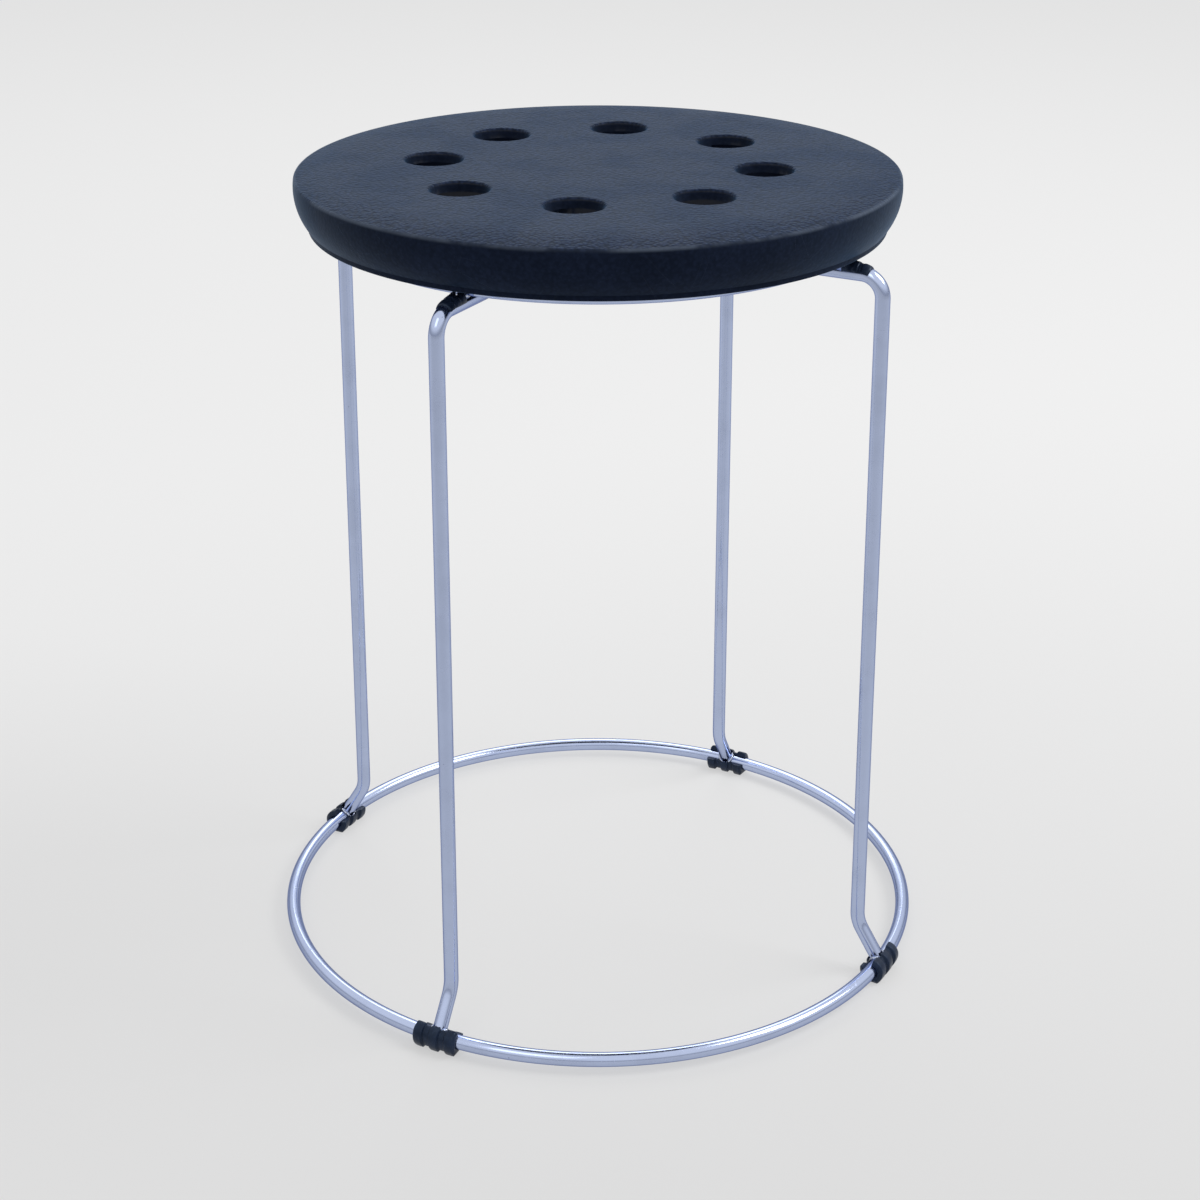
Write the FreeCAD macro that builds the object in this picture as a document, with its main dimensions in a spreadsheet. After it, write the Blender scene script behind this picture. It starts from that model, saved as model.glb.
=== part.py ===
import FreeCAD, Part
import math
import os

import Sketcher

# Low round stacking stool: a moulded seat with eight holes on a frame of bent chrome rod.
# Part frame: +Z up, origin on the floor under the seat's centre, front towards -Y.
# The four legs stand on the diagonals. Everything is in millimetres and degrees.

SIZES = [
    # The whole stool
    ("total_height", 450, "floor to the seat's top face"),
    ("overrun", 1, "how far a cut runs past the face that it opens"),
    # Seat, a moulded shell that is open underneath
    ("seat_diameter", 324, "across the widest line of the side"),
    ("seat_depth", 30, "top face to the rim's lower edge"),
    ("seat_widest_drop", 8.5, "top face to the widest line"),
    ("seat_side_radius", 30, "arc of the side, seen in section"),
    ("seat_fall", 2.8, "how far the top falls from the flat to the crease"),
    ("seat_fall_width", 28.4, "from the flat part of the top out to the crease"),
    ("seat_crease_rounding", 2, "rounding of the crease between top and side"),
    ("seat_rim_band", 3, "height of the band along the rim"),
    ("seat_rim_step", 0.5, "how far the band is set in from the side"),
    ("seat_rim_rounding", 0.8, "rounding of the rim's lower outer edge"),
    ("seat_top_wall", 3.2, "thickness of the top"),
    ("seat_side_wall", 3, "thickness of the side"),
    # Holes through the seat
    ("hole_count", 8, "holes in the ring, with a long rib between each two"),
    ("hole_diameter", 31, "clear width of a hole"),
    ("hole_gap", 12.3, "between a hole's collar and the bosses, towards the rim"),
    ("hole_twist", 1.9, "degrees that the holes are turned off the middle between two ribs"),
    ("hole_lip", 1.8, "rounding of a hole's upper edge"),
    ("collar_depth", 5.5, "top face to the lower end of a hole's collar"),
    ("collar_wall", 2.2, "thickness of a hole's collar"),
    # Ribs and screw bosses under the seat
    ("rib_thickness", 2.2, "thickness of every rib"),
    ("hub_ring_diameter", 90, "small round rib round the middle"),
    ("hub_ring_depth", 18, "top face to the lower edge of the hub ring"),
    ("boss_diameter", 12, "screw boss"),
    # Frame of bent and welded rod
    ("rod_diameter", 8, "rod of the legs and the base ring"),
    ("leg_stand_out", 3.2, "seat's widest line to the leg's upper corner"),
    ("leg_lean", 3.8, "how far a leg leans out from its upper corner to its kick"),
    ("kick_out", 15, "from the kick's corner out to the base ring"),
    ("kick_height", 31, "height of the kick's corner above the floor"),
    ("shoulder_bend", 12, "centre line radius of the bend at the top"),
    ("kick_bend", 20, "centre line radius of the bend at the foot"),
    ("rod_end_chamfer", 0.8, "chamfer of a leg's inner end"),
    ("upper_rod_diameter", 6, "rod of the ring under the seat"),
    ("upper_ring_inset", 23, "seat's widest line to the upper ring's centre line"),
    ("leg_overhang", 21, "upper ring to the inner end of a leg"),
    ("weld_set", 0.8, "how far a leg is pressed into the base ring"),
    ("upper_weld_set", 0.5, "how far the upper ring is pressed into a leg"),
    ("foot_bead_radius", 5, "weld bead between leg and base ring"),
    ("upper_bead_radius", 4.2, "weld bead between leg and upper ring"),
    # Clips that snap on the rod
    ("clip_clearance", 0.05, "between a clip's channel and the rod"),
    ("clip_length", 25.5, "foot clip, along the ring"),
    ("clip_sole", 3.3, "under the rod, to the floor"),
    ("clip_sole_flat", 8, "width of the flat sole"),
    ("clip_wall", 2.5, "side of the channel"),
    ("clip_mouth_turn", 37, "degrees that the channel's mouth is turned towards the leg"),
    ("clip_mouth_spread", 39, "degrees from the mouth's middle to each lip"),
    ("clip_mouth_flare", 5, "degrees that a lip opens towards the outside"),
    ("clip_rib_height", 0.7, "how far a rib stands out"),
    ("clip_rib_width", 6.6, "rib of a foot clip"),
    ("clip_rib_count", 3, "ribs on a foot clip"),
    ("clip_notch_gap", 0.3, "between a foot clip and the weld bead"),
    ("saddle_length", 14, "shoulder clip, along the leg's run"),
    ("saddle_gap", 0.4, "between the upper weld bead and a shoulder clip"),
    ("saddle_cover", 74, "degrees from its middle to each side's edge"),
    ("saddle_wall", 0.7, "thickness of a shoulder clip at its outer end"),
    ("saddle_rise", 2.5, "how much thicker its back is at its inner end, under the seat"),
    ("saddle_slot_width", 3.4, "slot in its inner end"),
    ("saddle_slot_depth", 5, "length of that slot"),
    # Lugs and screws that hold the seat
    ("lug_reach", 14, "upper ring's centre line to the screw"),
    ("lug_width", 20, "lug inside the upper ring"),
    ("lug_thickness", 2, "lug plate"),
    ("lug_play", 0.8, "hole in a lug, wider than the shank"),
    ("lug_bead_radius", 1.6, "weld bead along a lug"),
    ("lug_bead_length", 13, "length of that bead"),
    ("screw_diameter", 4.2, "shank of a screw"),
    ("screw_length", 18, "underside of the head to the tip"),
    ("screw_tip_length", 4, "cone at the tip"),
    ("screw_clearance", 0.1, "hole in a boss, wider than the shank"),
    ("screw_room", 1.9, "between a screw's tip and the end of its hole"),
    ("head_diameter", 8.2, "pan head"),
    ("head_height", 2.6, "pan head"),
    ("head_rounding", 1.2, "rounding of the pan head"),
    ("recess_width", 1, "slot of the cross recess"),
    ("recess_length", 4.6, "cross recess, end to end"),
    ("recess_depth", 1.4, "cross recess"),
    ("washer_diameter", 10.5, "washer under a head"),
    ("washer_thickness", 0.9, "washer under a head"),
    ("washer_play", 0.3, "bore of a washer, wider than the shank"),
]

# Heights, from the floor up, as expressions of the document
RING_HEIGHT = "(Sizes.clip_sole + Sizes.rod_diameter / 2)"
RIM_HEIGHT = "(Sizes.total_height - Sizes.seat_depth)"
UPPER_RING_HEIGHT = f"({RIM_HEIGHT} - Sizes.upper_rod_diameter / 2)"
ROD_RADII = "(Sizes.rod_diameter / 2 + Sizes.upper_rod_diameter / 2)"
RUN_HEIGHT = f"({UPPER_RING_HEIGHT} - {ROD_RADII} + Sizes.upper_weld_set)"
LUG_TOP = f"({UPPER_RING_HEIGHT} + Sizes.lug_thickness / 2)"
LUG_BOTTOM = f"({UPPER_RING_HEIGHT} - Sizes.lug_thickness / 2)"
HEAD_SEAT = f"({LUG_BOTTOM} - Sizes.washer_thickness)"
SCREW_TIP = f"({HEAD_SEAT} + Sizes.screw_length)"

# Distances from the stool's axis
LEG_TOP_RADIUS = "(Sizes.seat_diameter / 2 + Sizes.leg_stand_out)"
LEG_FOOT_RADIUS = f"({LEG_TOP_RADIUS} + Sizes.leg_lean)"
RING_RADIUS = f"({LEG_FOOT_RADIUS} + Sizes.kick_out)"
UPPER_RING_RADIUS = "(Sizes.seat_diameter / 2 - Sizes.upper_ring_inset)"
LEG_INNER_RADIUS = f"({UPPER_RING_RADIUS} - Sizes.leg_overhang)"
SADDLE_RADIUS = f"({UPPER_RING_RADIUS} + Sizes.upper_bead_radius + Sizes.saddle_gap)"
SCREW_RADIUS = f"({UPPER_RING_RADIUS} - Sizes.lug_reach)"
COLLAR_RADIUS = "(Sizes.hole_diameter / 2 + Sizes.collar_wall)"
HOLE_CIRCLE = f"({SCREW_RADIUS} - Sizes.boss_diameter / 2 - Sizes.hole_gap - {COLLAR_RADIUS})"

# Other values that pieces share
KICK_ANGLE = f"atan(Sizes.kick_out / (Sizes.kick_height - {RING_HEIGHT}))"
CHANNEL_RADIUS = "(Sizes.rod_diameter / 2 + Sizes.clip_clearance)"
FULL_TURN = "360"
TOLERANCE = 1e-4

LEG_SIDES = {"back_right": 45, "back_left": 135, "front_left": 225, "front_right": 315}
LUG_SIDES = {"right": 0, "back": 90, "left": 180, "front": 270}

doc = FreeCAD.newDocument("StackingStool")


def make_sheet():
    """The spreadsheet with one row for each driving size."""
    made = doc.addObject("Spreadsheet::Sheet", "Sizes")
    for row, (alias, value, note) in enumerate(SIZES, start=1):
        made.set(f"A{row}", alias)
        made.set(f"B{row}", str(value))
        made.set(f"C{row}", note)
        made.setAlias(f"B{row}", alias)
    doc.recompute()
    return made


sheet = make_sheet()


def number(expression):
    """What an expression of the sheet is worth now."""
    value = sheet.evalExpression(expression.replace("Sizes.", ""))
    return float(getattr(value, "Value", value))


def spot(x, y):
    """A point in a sketch, from two expressions."""
    return FreeCAD.Vector(number(x), number(y), 0)


# Sketch helpers


def new_sketch(body, role, name, lift=None, turn=None):
    """A sketch on one of the body's own planes, lifted along its normal or turned about its upright axis."""
    plane = next(f for f in body.Origin.OriginFeatures if f.Role == role)
    sketch = body.newObject("Sketcher::SketchObject", name)
    sketch.AttachmentSupport = (plane, [""])
    sketch.MapMode = "FlatFace"
    if lift:
        sketch.setExpression(".AttachmentOffset.Base.z", lift)
    if turn:
        upright = FreeCAD.Vector(0, 1, 0)
        sketch.AttachmentOffset = FreeCAD.Placement(FreeCAD.Vector(), FreeCAD.Rotation(upright, 0))
        sketch.setExpression(".AttachmentOffset.Rotation.Angle", turn)
    return sketch


def tie(sketch, kind, *details):
    """Add a constraint whose value is the expression that stands last in details."""
    *where, expression = details
    index = sketch.addConstraint(Sketcher.Constraint(kind, *where, number(expression)))
    sketch.setExpression(f"Constraints[{index}]", expression)


def pin_down(sketch, element, end, x, y):
    """Tie one point of an element to its place in the sketch."""
    for kind, expression, axis in (("DistanceX", x, -2), ("DistanceY", y, -1)):
        if expression == "0":
            sketch.addConstraint(Sketcher.Constraint("PointOnObject", element, end, axis))
        else:
            tie(sketch, kind, -1, 1, element, end, expression)


def arc_between(start, end, radius, turning, is_major):
    """An arc from start to end. turning is 1 for counter-clockwise and -1 for clockwise."""
    chord = end - start
    to_left = FreeCAD.Vector(-chord.y, chord.x, 0).normalize()
    depth = math.sqrt(max(radius**2 - (chord.Length / 2) ** 2, 0))
    side = -turning if is_major else turning
    centre = start + chord * 0.5 + to_left * depth * side
    first, last = (start, end) if turning > 0 else (end, start)
    angles = [math.atan2(p.y - centre.y, p.x - centre.x) for p in (first, last)]
    return Part.ArcOfCircle(Part.Circle(centre, FreeCAD.Vector(0, 0, 1), radius), *angles)


def draw_outline(sketch, corners, arcs=None):
    """Draw a closed outline through the corners, each a pair of expressions.

    arcs gives the sides that are arcs: number of the side, then radius, turning and whether it is
    the longer way round. Every corner and radius is tied to the sheet.
    """
    arcs = arcs or {}
    points = [spot(x, y) for x, y in corners]
    elements = []
    for side, start in enumerate(points):
        end = points[(side + 1) % len(points)]
        if side in arcs:
            radius, turning, is_major = arcs[side]
            shape = arc_between(start, end, number(radius), turning, is_major)
            ends = (1, 2) if turning > 0 else (2, 1)
        else:
            shape = Part.LineSegment(start, end)
            ends = (1, 2)
        elements.append((sketch.addGeometry(shape), ends))
    for side, (element, ends) in enumerate(elements):
        following, following_ends = elements[(side + 1) % len(elements)]
        sketch.addConstraint(
            Sketcher.Constraint("Coincident", element, ends[1], following, following_ends[0])
        )
        pin_down(sketch, element, ends[0], *corners[side])
        if side in arcs:
            tie(sketch, "Radius", element, arcs[side][0])


def draw_circle(sketch, x, y, radius):
    """Draw a circle whose centre and radius are expressions."""
    shape = Part.Circle(spot(x, y), FreeCAD.Vector(0, 0, 1), number(radius))
    element = sketch.addGeometry(shape)
    pin_down(sketch, element, 3, x, y)
    tie(sketch, "Radius", element, radius)


# Feature helpers


def new_body(label, angle=0):
    """A body whose local X axis points the given way round the stool."""
    body = doc.addObject("PartDesign::Body", label)
    body.Label = label
    body.Placement = FreeCAD.Placement(
        FreeCAD.Vector(), FreeCAD.Rotation(FreeCAD.Vector(0, 0, 1), angle)
    )
    return body


def solid_volume(body):
    """Volume of the body as it stands."""
    doc.recompute()
    return body.Tip.Shape.Volume if body.Tip else 0


def check_step(body, feature, before, grows):
    """Stop if a feature added or removed nothing."""
    after = solid_volume(body)
    changed = after > before if grows else after < before
    if not changed:
        raise RuntimeError(f"{body.Label}: {feature.Name} changed nothing")
    return feature


def pad(body, sketch, length, midplane=False, backwards=False):
    """Pad a sketch by an expression."""
    before = solid_volume(body)
    feature = body.newObject("PartDesign::Pad", f"{sketch.Name}Pad")
    feature.Profile = sketch
    feature.Midplane = midplane
    feature.Reversed = backwards
    feature.setExpression("Length", length)
    return check_step(body, feature, before, grows=True)


def pocket(body, sketch, length, backwards=False):
    """Cut a sketch into the body by an expression."""
    before = solid_volume(body)
    feature = body.newObject("PartDesign::Pocket", f"{sketch.Name}Pocket")
    feature.Profile = sketch
    feature.Reversed = backwards
    feature.setExpression("Length", length)
    return check_step(body, feature, before, grows=False)


def turned(body, sketch, kind="Revolution", axis="V_Axis", angle=FULL_TURN, midplane=False):
    """Revolve a sketch about one of its axes, as a Revolution or a Groove."""
    before = solid_volume(body)
    feature = body.newObject(f"PartDesign::{kind}", f"{sketch.Name}{kind}")
    feature.Profile = sketch
    feature.ReferenceAxis = (sketch, [axis])
    feature.Midplane = midplane
    feature.setExpression("Angle", angle)
    return check_step(body, feature, before, grows=kind == "Revolution")


def loft(body, first, last):
    """Join two sections by straight lines."""
    before = solid_volume(body)
    feature = body.newObject("PartDesign::AdditiveLoft", f"{first.Name}Loft")
    feature.Profile = first
    feature.Sections = [last]
    feature.Ruled = True
    return check_step(body, feature, before, grows=True)


def is_cut(feature):
    """Whether a feature takes material away."""
    return feature.TypeId in ("PartDesign::Pocket", "PartDesign::Groove")


def origin_axis(body, role):
    """One of the body's own axes, for a pattern."""
    return (next(f for f in body.Origin.OriginFeatures if f.Role == role), [""])


def repeat_round(body, feature, count, angle=FULL_TURN):
    """Repeat a feature about the upright axis."""
    grows = not is_cut(feature)
    before = solid_volume(body)
    pattern = body.newObject("PartDesign::PolarPattern", f"{feature.Name}Round")
    pattern.Originals = [feature]
    pattern.Axis = origin_axis(body, "Z_Axis")
    pattern.setExpression("Angle", angle)
    pattern.setExpression("Occurrences", count)
    body.Tip = pattern
    return check_step(body, pattern, before, grows)


def dress_edges(body, kind, names, size_name, expression):
    """Fillet or chamfer the named edges of the tip."""
    before = solid_volume(body)
    base = body.Tip
    feature = body.newObject(f"PartDesign::{kind}", f"{body.Name}{kind}{len(body.Group)}")
    feature.Base = (base, names)
    feature.setExpression(size_name, expression)
    return check_step(body, feature, before, grows=False)


def round_edges(shape, height, radius):
    """Names of the circular edges with that radius, centred at that height."""
    found = []
    for index, edge in enumerate(shape.Edges, start=1):
        curve = edge.Curve
        if not isinstance(curve, Part.Circle) or abs(curve.Axis.z) < 1 - TOLERANCE:
            continue
        if abs(curve.Center.z - height) < TOLERANCE and abs(curve.Radius - radius) < TOLERANCE:
            found.append(f"Edge{index}")
    return found


# Seat

SIDE_X = "(Sizes.seat_diameter / 2 - Sizes.seat_side_radius)"
SIDE_Z = "(Sizes.total_height - Sizes.seat_widest_drop)"
CREASE_Z = "(Sizes.total_height - Sizes.seat_fall)"
BAND_Z = f"({RIM_HEIGHT} + Sizes.seat_rim_band)"


def on_side(height, inset="0"):
    """How far out the side's arc lies at a height, or an arc set in from it."""
    return f"({SIDE_X} + sqrt((Sizes.seat_side_radius - {inset})^2 - ({SIDE_Z} - {height})^2))"


def under_side(radius, inset):
    """At what height an arc set in from the side passes a radius, below the widest line."""
    return f"({SIDE_Z} - sqrt((Sizes.seat_side_radius - {inset})^2 - ({radius} - {SIDE_X})^2))"


FLAT_RADIUS = f"({on_side(CREASE_Z)} - Sizes.seat_fall_width)"
RIM_RADIUS = f"({on_side(BAND_Z)} - Sizes.seat_rim_step)"
RIM_INNER = f"({RIM_RADIUS} - Sizes.seat_side_wall)"
CEILING_Z = "(Sizes.total_height - Sizes.seat_top_wall)"
IN_TOP = "(Sizes.total_height - Sizes.seat_top_wall / 2)"


def seat_section(body):
    """Half section of the shell, in the plane of X and Z."""
    sketch = new_sketch(body, "XZ_Plane", "ShellSection")
    wall = "Sizes.seat_side_wall"
    low_crease = f"({CREASE_Z} - Sizes.seat_top_wall)"
    corners = [
        ("0", "Sizes.total_height"),
        (FLAT_RADIUS, "Sizes.total_height"),
        (on_side(CREASE_Z), CREASE_Z),
        (on_side(BAND_Z), BAND_Z),
        (RIM_RADIUS, BAND_Z),
        (RIM_RADIUS, RIM_HEIGHT),
        (RIM_INNER, RIM_HEIGHT),
        (RIM_INNER, under_side(RIM_INNER, wall)),
        (on_side(low_crease, wall), low_crease),
        (FLAT_RADIUS, CEILING_Z),
        ("0", CEILING_Z),
    ]
    crown = "(Sizes.seat_fall_width^2 + Sizes.seat_fall^2) / (2 * Sizes.seat_fall)"
    arcs = {
        1: (crown, -1, False),
        2: ("Sizes.seat_side_radius", -1, False),
        7: (f"Sizes.seat_side_radius - {wall}", 1, False),
    }
    draw_outline(sketch, corners, arcs)
    return sketch


def add_hole_collars(body):
    """A short collar under the top round each place that gets a hole."""
    first = "(180 / Sizes.hole_count - Sizes.hole_twist)"
    x = f"{HOLE_CIRCLE} * cos({first})"
    y = f"{HOLE_CIRCLE} * sin({first})"
    low = new_sketch(body, "XY_Plane", "Collar", lift="Sizes.total_height - Sizes.collar_depth")
    draw_circle(low, x, y, COLLAR_RADIUS)
    collar = pad(body, low, "Sizes.collar_depth - Sizes.seat_top_wall / 2")
    repeat_round(body, collar, "Sizes.hole_count")
    top = new_sketch(body, "XY_Plane", "Hole", lift="Sizes.total_height")
    draw_circle(top, x, y, "Sizes.hole_diameter / 2")
    hole = pocket(body, top, "Sizes.collar_depth + Sizes.overrun")
    repeat_round(body, hole, "Sizes.hole_count")


def add_seat_ribs(body):
    """A round rib at the hub and one that stands on the frame's upper ring, and ribs that run outwards."""
    middle = "Sizes.rib_thickness / 2"
    hub = f"(Sizes.hub_ring_diameter / 2 - {middle})"
    hub_z = "(Sizes.total_height - Sizes.hub_ring_depth)"
    rounds = new_sketch(body, "XZ_Plane", "RoundRibs")
    for radius, low in ((hub, hub_z), (UPPER_RING_RADIUS, RIM_HEIGHT)):
        inner, outer = f"({radius} - {middle})", f"({radius} + {middle})"
        draw_outline(rounds, [(inner, low), (outer, low), (outer, IN_TOP), (inner, IN_TOP)])
    turned(body, rounds)

    bearing = UPPER_RING_RADIUS
    long_rib = new_sketch(body, "XZ_Plane", "LongRib")
    draw_outline(long_rib, [(hub, hub_z), (bearing, RIM_HEIGHT), (bearing, IN_TOP), (hub, IN_TOP)])
    rib = pad(body, long_rib, "Sizes.rib_thickness", midplane=True)
    repeat_round(body, rib, "Sizes.hole_count")

    in_wall = "Sizes.seat_side_wall / 2"
    edge = f"({RIM_RADIUS} - {in_wall})"
    shoulder = f"({CREASE_Z} - Sizes.seat_top_wall / 2)"
    corners = [
        (bearing, RIM_HEIGHT),
        (edge, RIM_HEIGHT),
        (edge, under_side(edge, in_wall)),
        (on_side(shoulder, in_wall), shoulder),
        (bearing, IN_TOP),
    ]
    short_rib = new_sketch(body, "XZ_Plane", "ShortRib")
    draw_outline(short_rib, corners, {2: (f"Sizes.seat_side_radius - {in_wall}", 1, False)})
    rib = pad(body, short_rib, "Sizes.rib_thickness", midplane=True)
    repeat_round(body, rib, "Sizes.hole_count")


def add_bosses(body):
    """Four screw bosses that stand on the frame's lugs, each with a blind hole."""
    lugs = str(len(LUG_SIDES))
    foot = new_sketch(body, "XY_Plane", "Boss", lift=LUG_TOP)
    draw_circle(foot, SCREW_RADIUS, "0", "Sizes.boss_diameter / 2")
    boss = pad(body, foot, f"{IN_TOP} - {LUG_TOP}")
    repeat_round(body, boss, lugs)
    pilot = new_sketch(body, "XY_Plane", "Pilot", lift=LUG_TOP)
    draw_circle(pilot, SCREW_RADIUS, "0", "(Sizes.screw_diameter + Sizes.screw_clearance) / 2")
    hole = pocket(body, pilot, f"{SCREW_TIP} + Sizes.screw_room - {LUG_TOP}", backwards=True)
    repeat_round(body, hole, lugs)


def make_seat():
    """Moulded seat: shell, hole collars, ribs and bosses in one piece."""
    body = new_body("seat_shell")
    turned(body, seat_section(body))
    add_hole_collars(body)
    add_seat_ribs(body)
    add_bosses(body)
    shape = body.Tip.Shape
    top, rim, crease = (number(e) for e in ("Sizes.total_height", RIM_HEIGHT, CREASE_Z))
    creases = round_edges(shape, crease, number(on_side(CREASE_Z)))
    dress_edges(body, "Fillet", creases, "Radius", "Sizes.seat_crease_rounding")
    rims = round_edges(body.Tip.Shape, rim, number(RIM_RADIUS))
    dress_edges(body, "Fillet", rims, "Radius", "Sizes.seat_rim_rounding")
    lips = round_edges(body.Tip.Shape, top, number("Sizes.hole_diameter / 2"))
    dress_edges(body, "Fillet", lips, "Radius", "Sizes.hole_lip")
    return body


# Frame


def make_ring(label, radius, diameter, height):
    """A ring of rod, bent round and butt welded."""
    body = new_body(label)
    sketch = new_sketch(body, "XZ_Plane", f"{label}_section")
    draw_circle(sketch, radius, height, f"{diameter} / 2")
    turned(body, sketch)
    return body


def corner_of(before, corner, after, radius):
    """Two tangent points and the arc of a bend in a path."""
    back, ahead = (before - corner).normalize(), (after - corner).normalize()
    half = math.acos(back.dot(ahead)) / 2
    start, end = corner + back * (radius / math.tan(half)), corner + ahead * (radius / math.tan(half))
    centre = corner + (back + ahead).normalize() * (radius / math.sin(half))
    middle = centre + (corner - centre).normalize() * radius
    return start, end, Part.Arc(start, middle, end)


def leg_path(body):
    """Centre line of a leg in the plane of X and Z: run under the seat, shoulder, upright, kick."""
    sketch = new_sketch(body, "XZ_Plane", f"{body.Name}_path")
    marks = [
        (LEG_INNER_RADIUS, RUN_HEIGHT),
        (LEG_TOP_RADIUS, RUN_HEIGHT),
        (LEG_FOOT_RADIUS, "Sizes.kick_height"),
        (RING_RADIUS, RING_HEIGHT),
    ]
    inner, shoulder, kick, ring = (spot(x, y) for x, y in marks)
    gap = "Sizes.rod_diameter / 2 - Sizes.weld_set"
    foot = ring + (kick - ring).normalize() * number(gap)
    top_in, top_out, top_arc = corner_of(inner, shoulder, kick, number("Sizes.shoulder_bend"))
    low_in, low_out, low_arc = corner_of(shoulder, kick, ring, number("Sizes.kick_bend"))
    run = sketch.addGeometry(Part.LineSegment(inner, top_in))
    top_bend = sketch.addGeometry(top_arc)
    upright = sketch.addGeometry(Part.LineSegment(top_out, low_in))
    low_bend = sketch.addGeometry(low_arc)
    stub = sketch.addGeometry(Part.LineSegment(low_out, foot))
    shoulder_mark, kick_mark, ring_mark = (
        sketch.addGeometry(Part.Point(p), True) for p in (shoulder, kick, ring)
    )
    # Both arcs run counter-clockwise from their ends on the upright
    for first, first_end, second, second_end in (
        (run, 2, top_bend, 2),
        (top_bend, 1, upright, 1),
        (upright, 2, low_bend, 1),
        (low_bend, 2, stub, 1),
    ):
        sketch.addConstraint(
            Sketcher.Constraint("Tangent", first, first_end, second, second_end)
        )
    tie(sketch, "Radius", top_bend, "Sizes.shoulder_bend")
    tie(sketch, "Radius", low_bend, "Sizes.kick_bend")
    sketch.addConstraint(Sketcher.Constraint("Horizontal", run))
    pin_down(sketch, run, 1, *marks[0])
    for mark, place in ((shoulder_mark, marks[1]), (kick_mark, marks[2]), (ring_mark, marks[3])):
        pin_down(sketch, mark, 1, *place)
    for mark, line in (
        (shoulder_mark, upright),
        (kick_mark, upright),
        (kick_mark, stub),
        (ring_mark, stub),
    ):
        sketch.addConstraint(Sketcher.Constraint("PointOnObject", mark, 1, line))
    tie(sketch, "Distance", stub, 2, ring_mark, 1, gap)
    return sketch


def make_leg(side, angle):
    """One leg, bent from one length of rod and pressed against both rings where it is welded."""
    body = new_body(f"leg_{side}", angle)
    path = leg_path(body)
    section = new_sketch(body, "YZ_Plane", f"{body.Name}_section", lift=LEG_INNER_RADIUS)
    draw_circle(section, "0", RUN_HEIGHT, "Sizes.rod_diameter / 2")
    before = solid_volume(body)
    pipe = body.newObject("PartDesign::AdditivePipe", f"{body.Name}_rod")
    pipe.Profile = section
    pipe.Spine = path
    check_step(body, pipe, before, grows=True)
    rings = new_sketch(body, "XZ_Plane", f"{body.Name}_rings")
    draw_circle(rings, RING_RADIUS, RING_HEIGHT, "Sizes.rod_diameter / 2")
    draw_circle(rings, UPPER_RING_RADIUS, UPPER_RING_HEIGHT, "Sizes.upper_rod_diameter / 2")
    turned(body, rings, kind="Groove")
    inner_end = [
        f"Edge{index}"
        for index, edge in enumerate(body.Tip.Shape.Edges, start=1)
        if isinstance(edge.Curve, Part.Circle)
        and abs(edge.Curve.Center.x - number(LEG_INNER_RADIUS)) < TOLERANCE
        and abs(edge.Curve.Axis.x) > 1 - TOLERANCE
    ]
    dress_edges(body, "Chamfer", inner_end, "Size", "Sizes.rod_end_chamfer")
    return body


# Clips


def on_circle(x, y, radius, angle):
    """The point of a circle round x, y at an angle from +X, as a pair of expressions."""
    return (f"{x} + {radius} * cos({angle})", f"{y} + {radius} * sin({angle})")


def sleeve_section(sketch, x, y, grow="0"):
    """Section of a round sleeve on a rod at x, y: a flat sole, and a mouth that is turned towards -X.

    grow makes it a rib.
    """
    side = f"({CHANNEL_RADIUS} + Sizes.clip_wall + {grow})"
    sole = f"(Sizes.rod_diameter / 2 + Sizes.clip_sole - Sizes.clip_rib_height + {grow})"
    flat = "(Sizes.clip_sole_flat / 2)"
    middle = f"({FULL_TURN} / 4 + Sizes.clip_mouth_turn)"
    near, far = f"({middle} - Sizes.clip_mouth_spread)", f"({middle} + Sizes.clip_mouth_spread)"
    corners = [
        (f"{x} + {flat}", f"{y} - {sole}"),
        (f"{x} + {side}", y),
        on_circle(x, y, side, f"({near} - Sizes.clip_mouth_flare)"),
        on_circle(x, y, CHANNEL_RADIUS, near),
        on_circle(x, y, CHANNEL_RADIUS, far),
        on_circle(x, y, side, f"({far} + Sizes.clip_mouth_flare)"),
        (f"{x} - {side}", y),
        (f"{x} - {flat}", f"{y} - {sole}"),
    ]
    corner = f"(({side} - {flat})^2 + {sole}^2) / (2 * ({side} - {flat}))"
    arcs = {
        0: (corner, 1, False),
        1: (side, 1, False),
        3: (CHANNEL_RADIUS, -1, True),
        5: (side, 1, False),
        6: (corner, 1, False),
    }
    draw_outline(sketch, corners, arcs)


def saddle_section(body, name, place, rise):
    """Section of a saddle on a leg's run, at a distance from the stool's axis. rise lifts its back."""
    sketch = new_sketch(body, "YZ_Plane", name, lift=place)
    outer = f"({CHANNEL_RADIUS} + Sizes.saddle_wall)"
    edge = f"({CHANNEL_RADIUS} * sin(Sizes.saddle_cover))"
    edge_height = f"({CHANNEL_RADIUS} * cos(Sizes.saddle_cover))"
    side = f"sqrt({outer}^2 - ({edge_height} - {rise})^2)"
    low = f"{RUN_HEIGHT} + {edge_height}"
    corners = [(edge, low), (side, low), (f"-{side}", low), (f"-{edge}", low)]
    is_arched = number(f"{rise} - {edge_height}") > 0
    is_deep = number(f"4 * Sizes.saddle_cover - {FULL_TURN}") > 0
    draw_outline(sketch, corners, {1: (outer, 1, is_arched), 3: (CHANNEL_RADIUS, -1, is_deep)})
    return sketch


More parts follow.
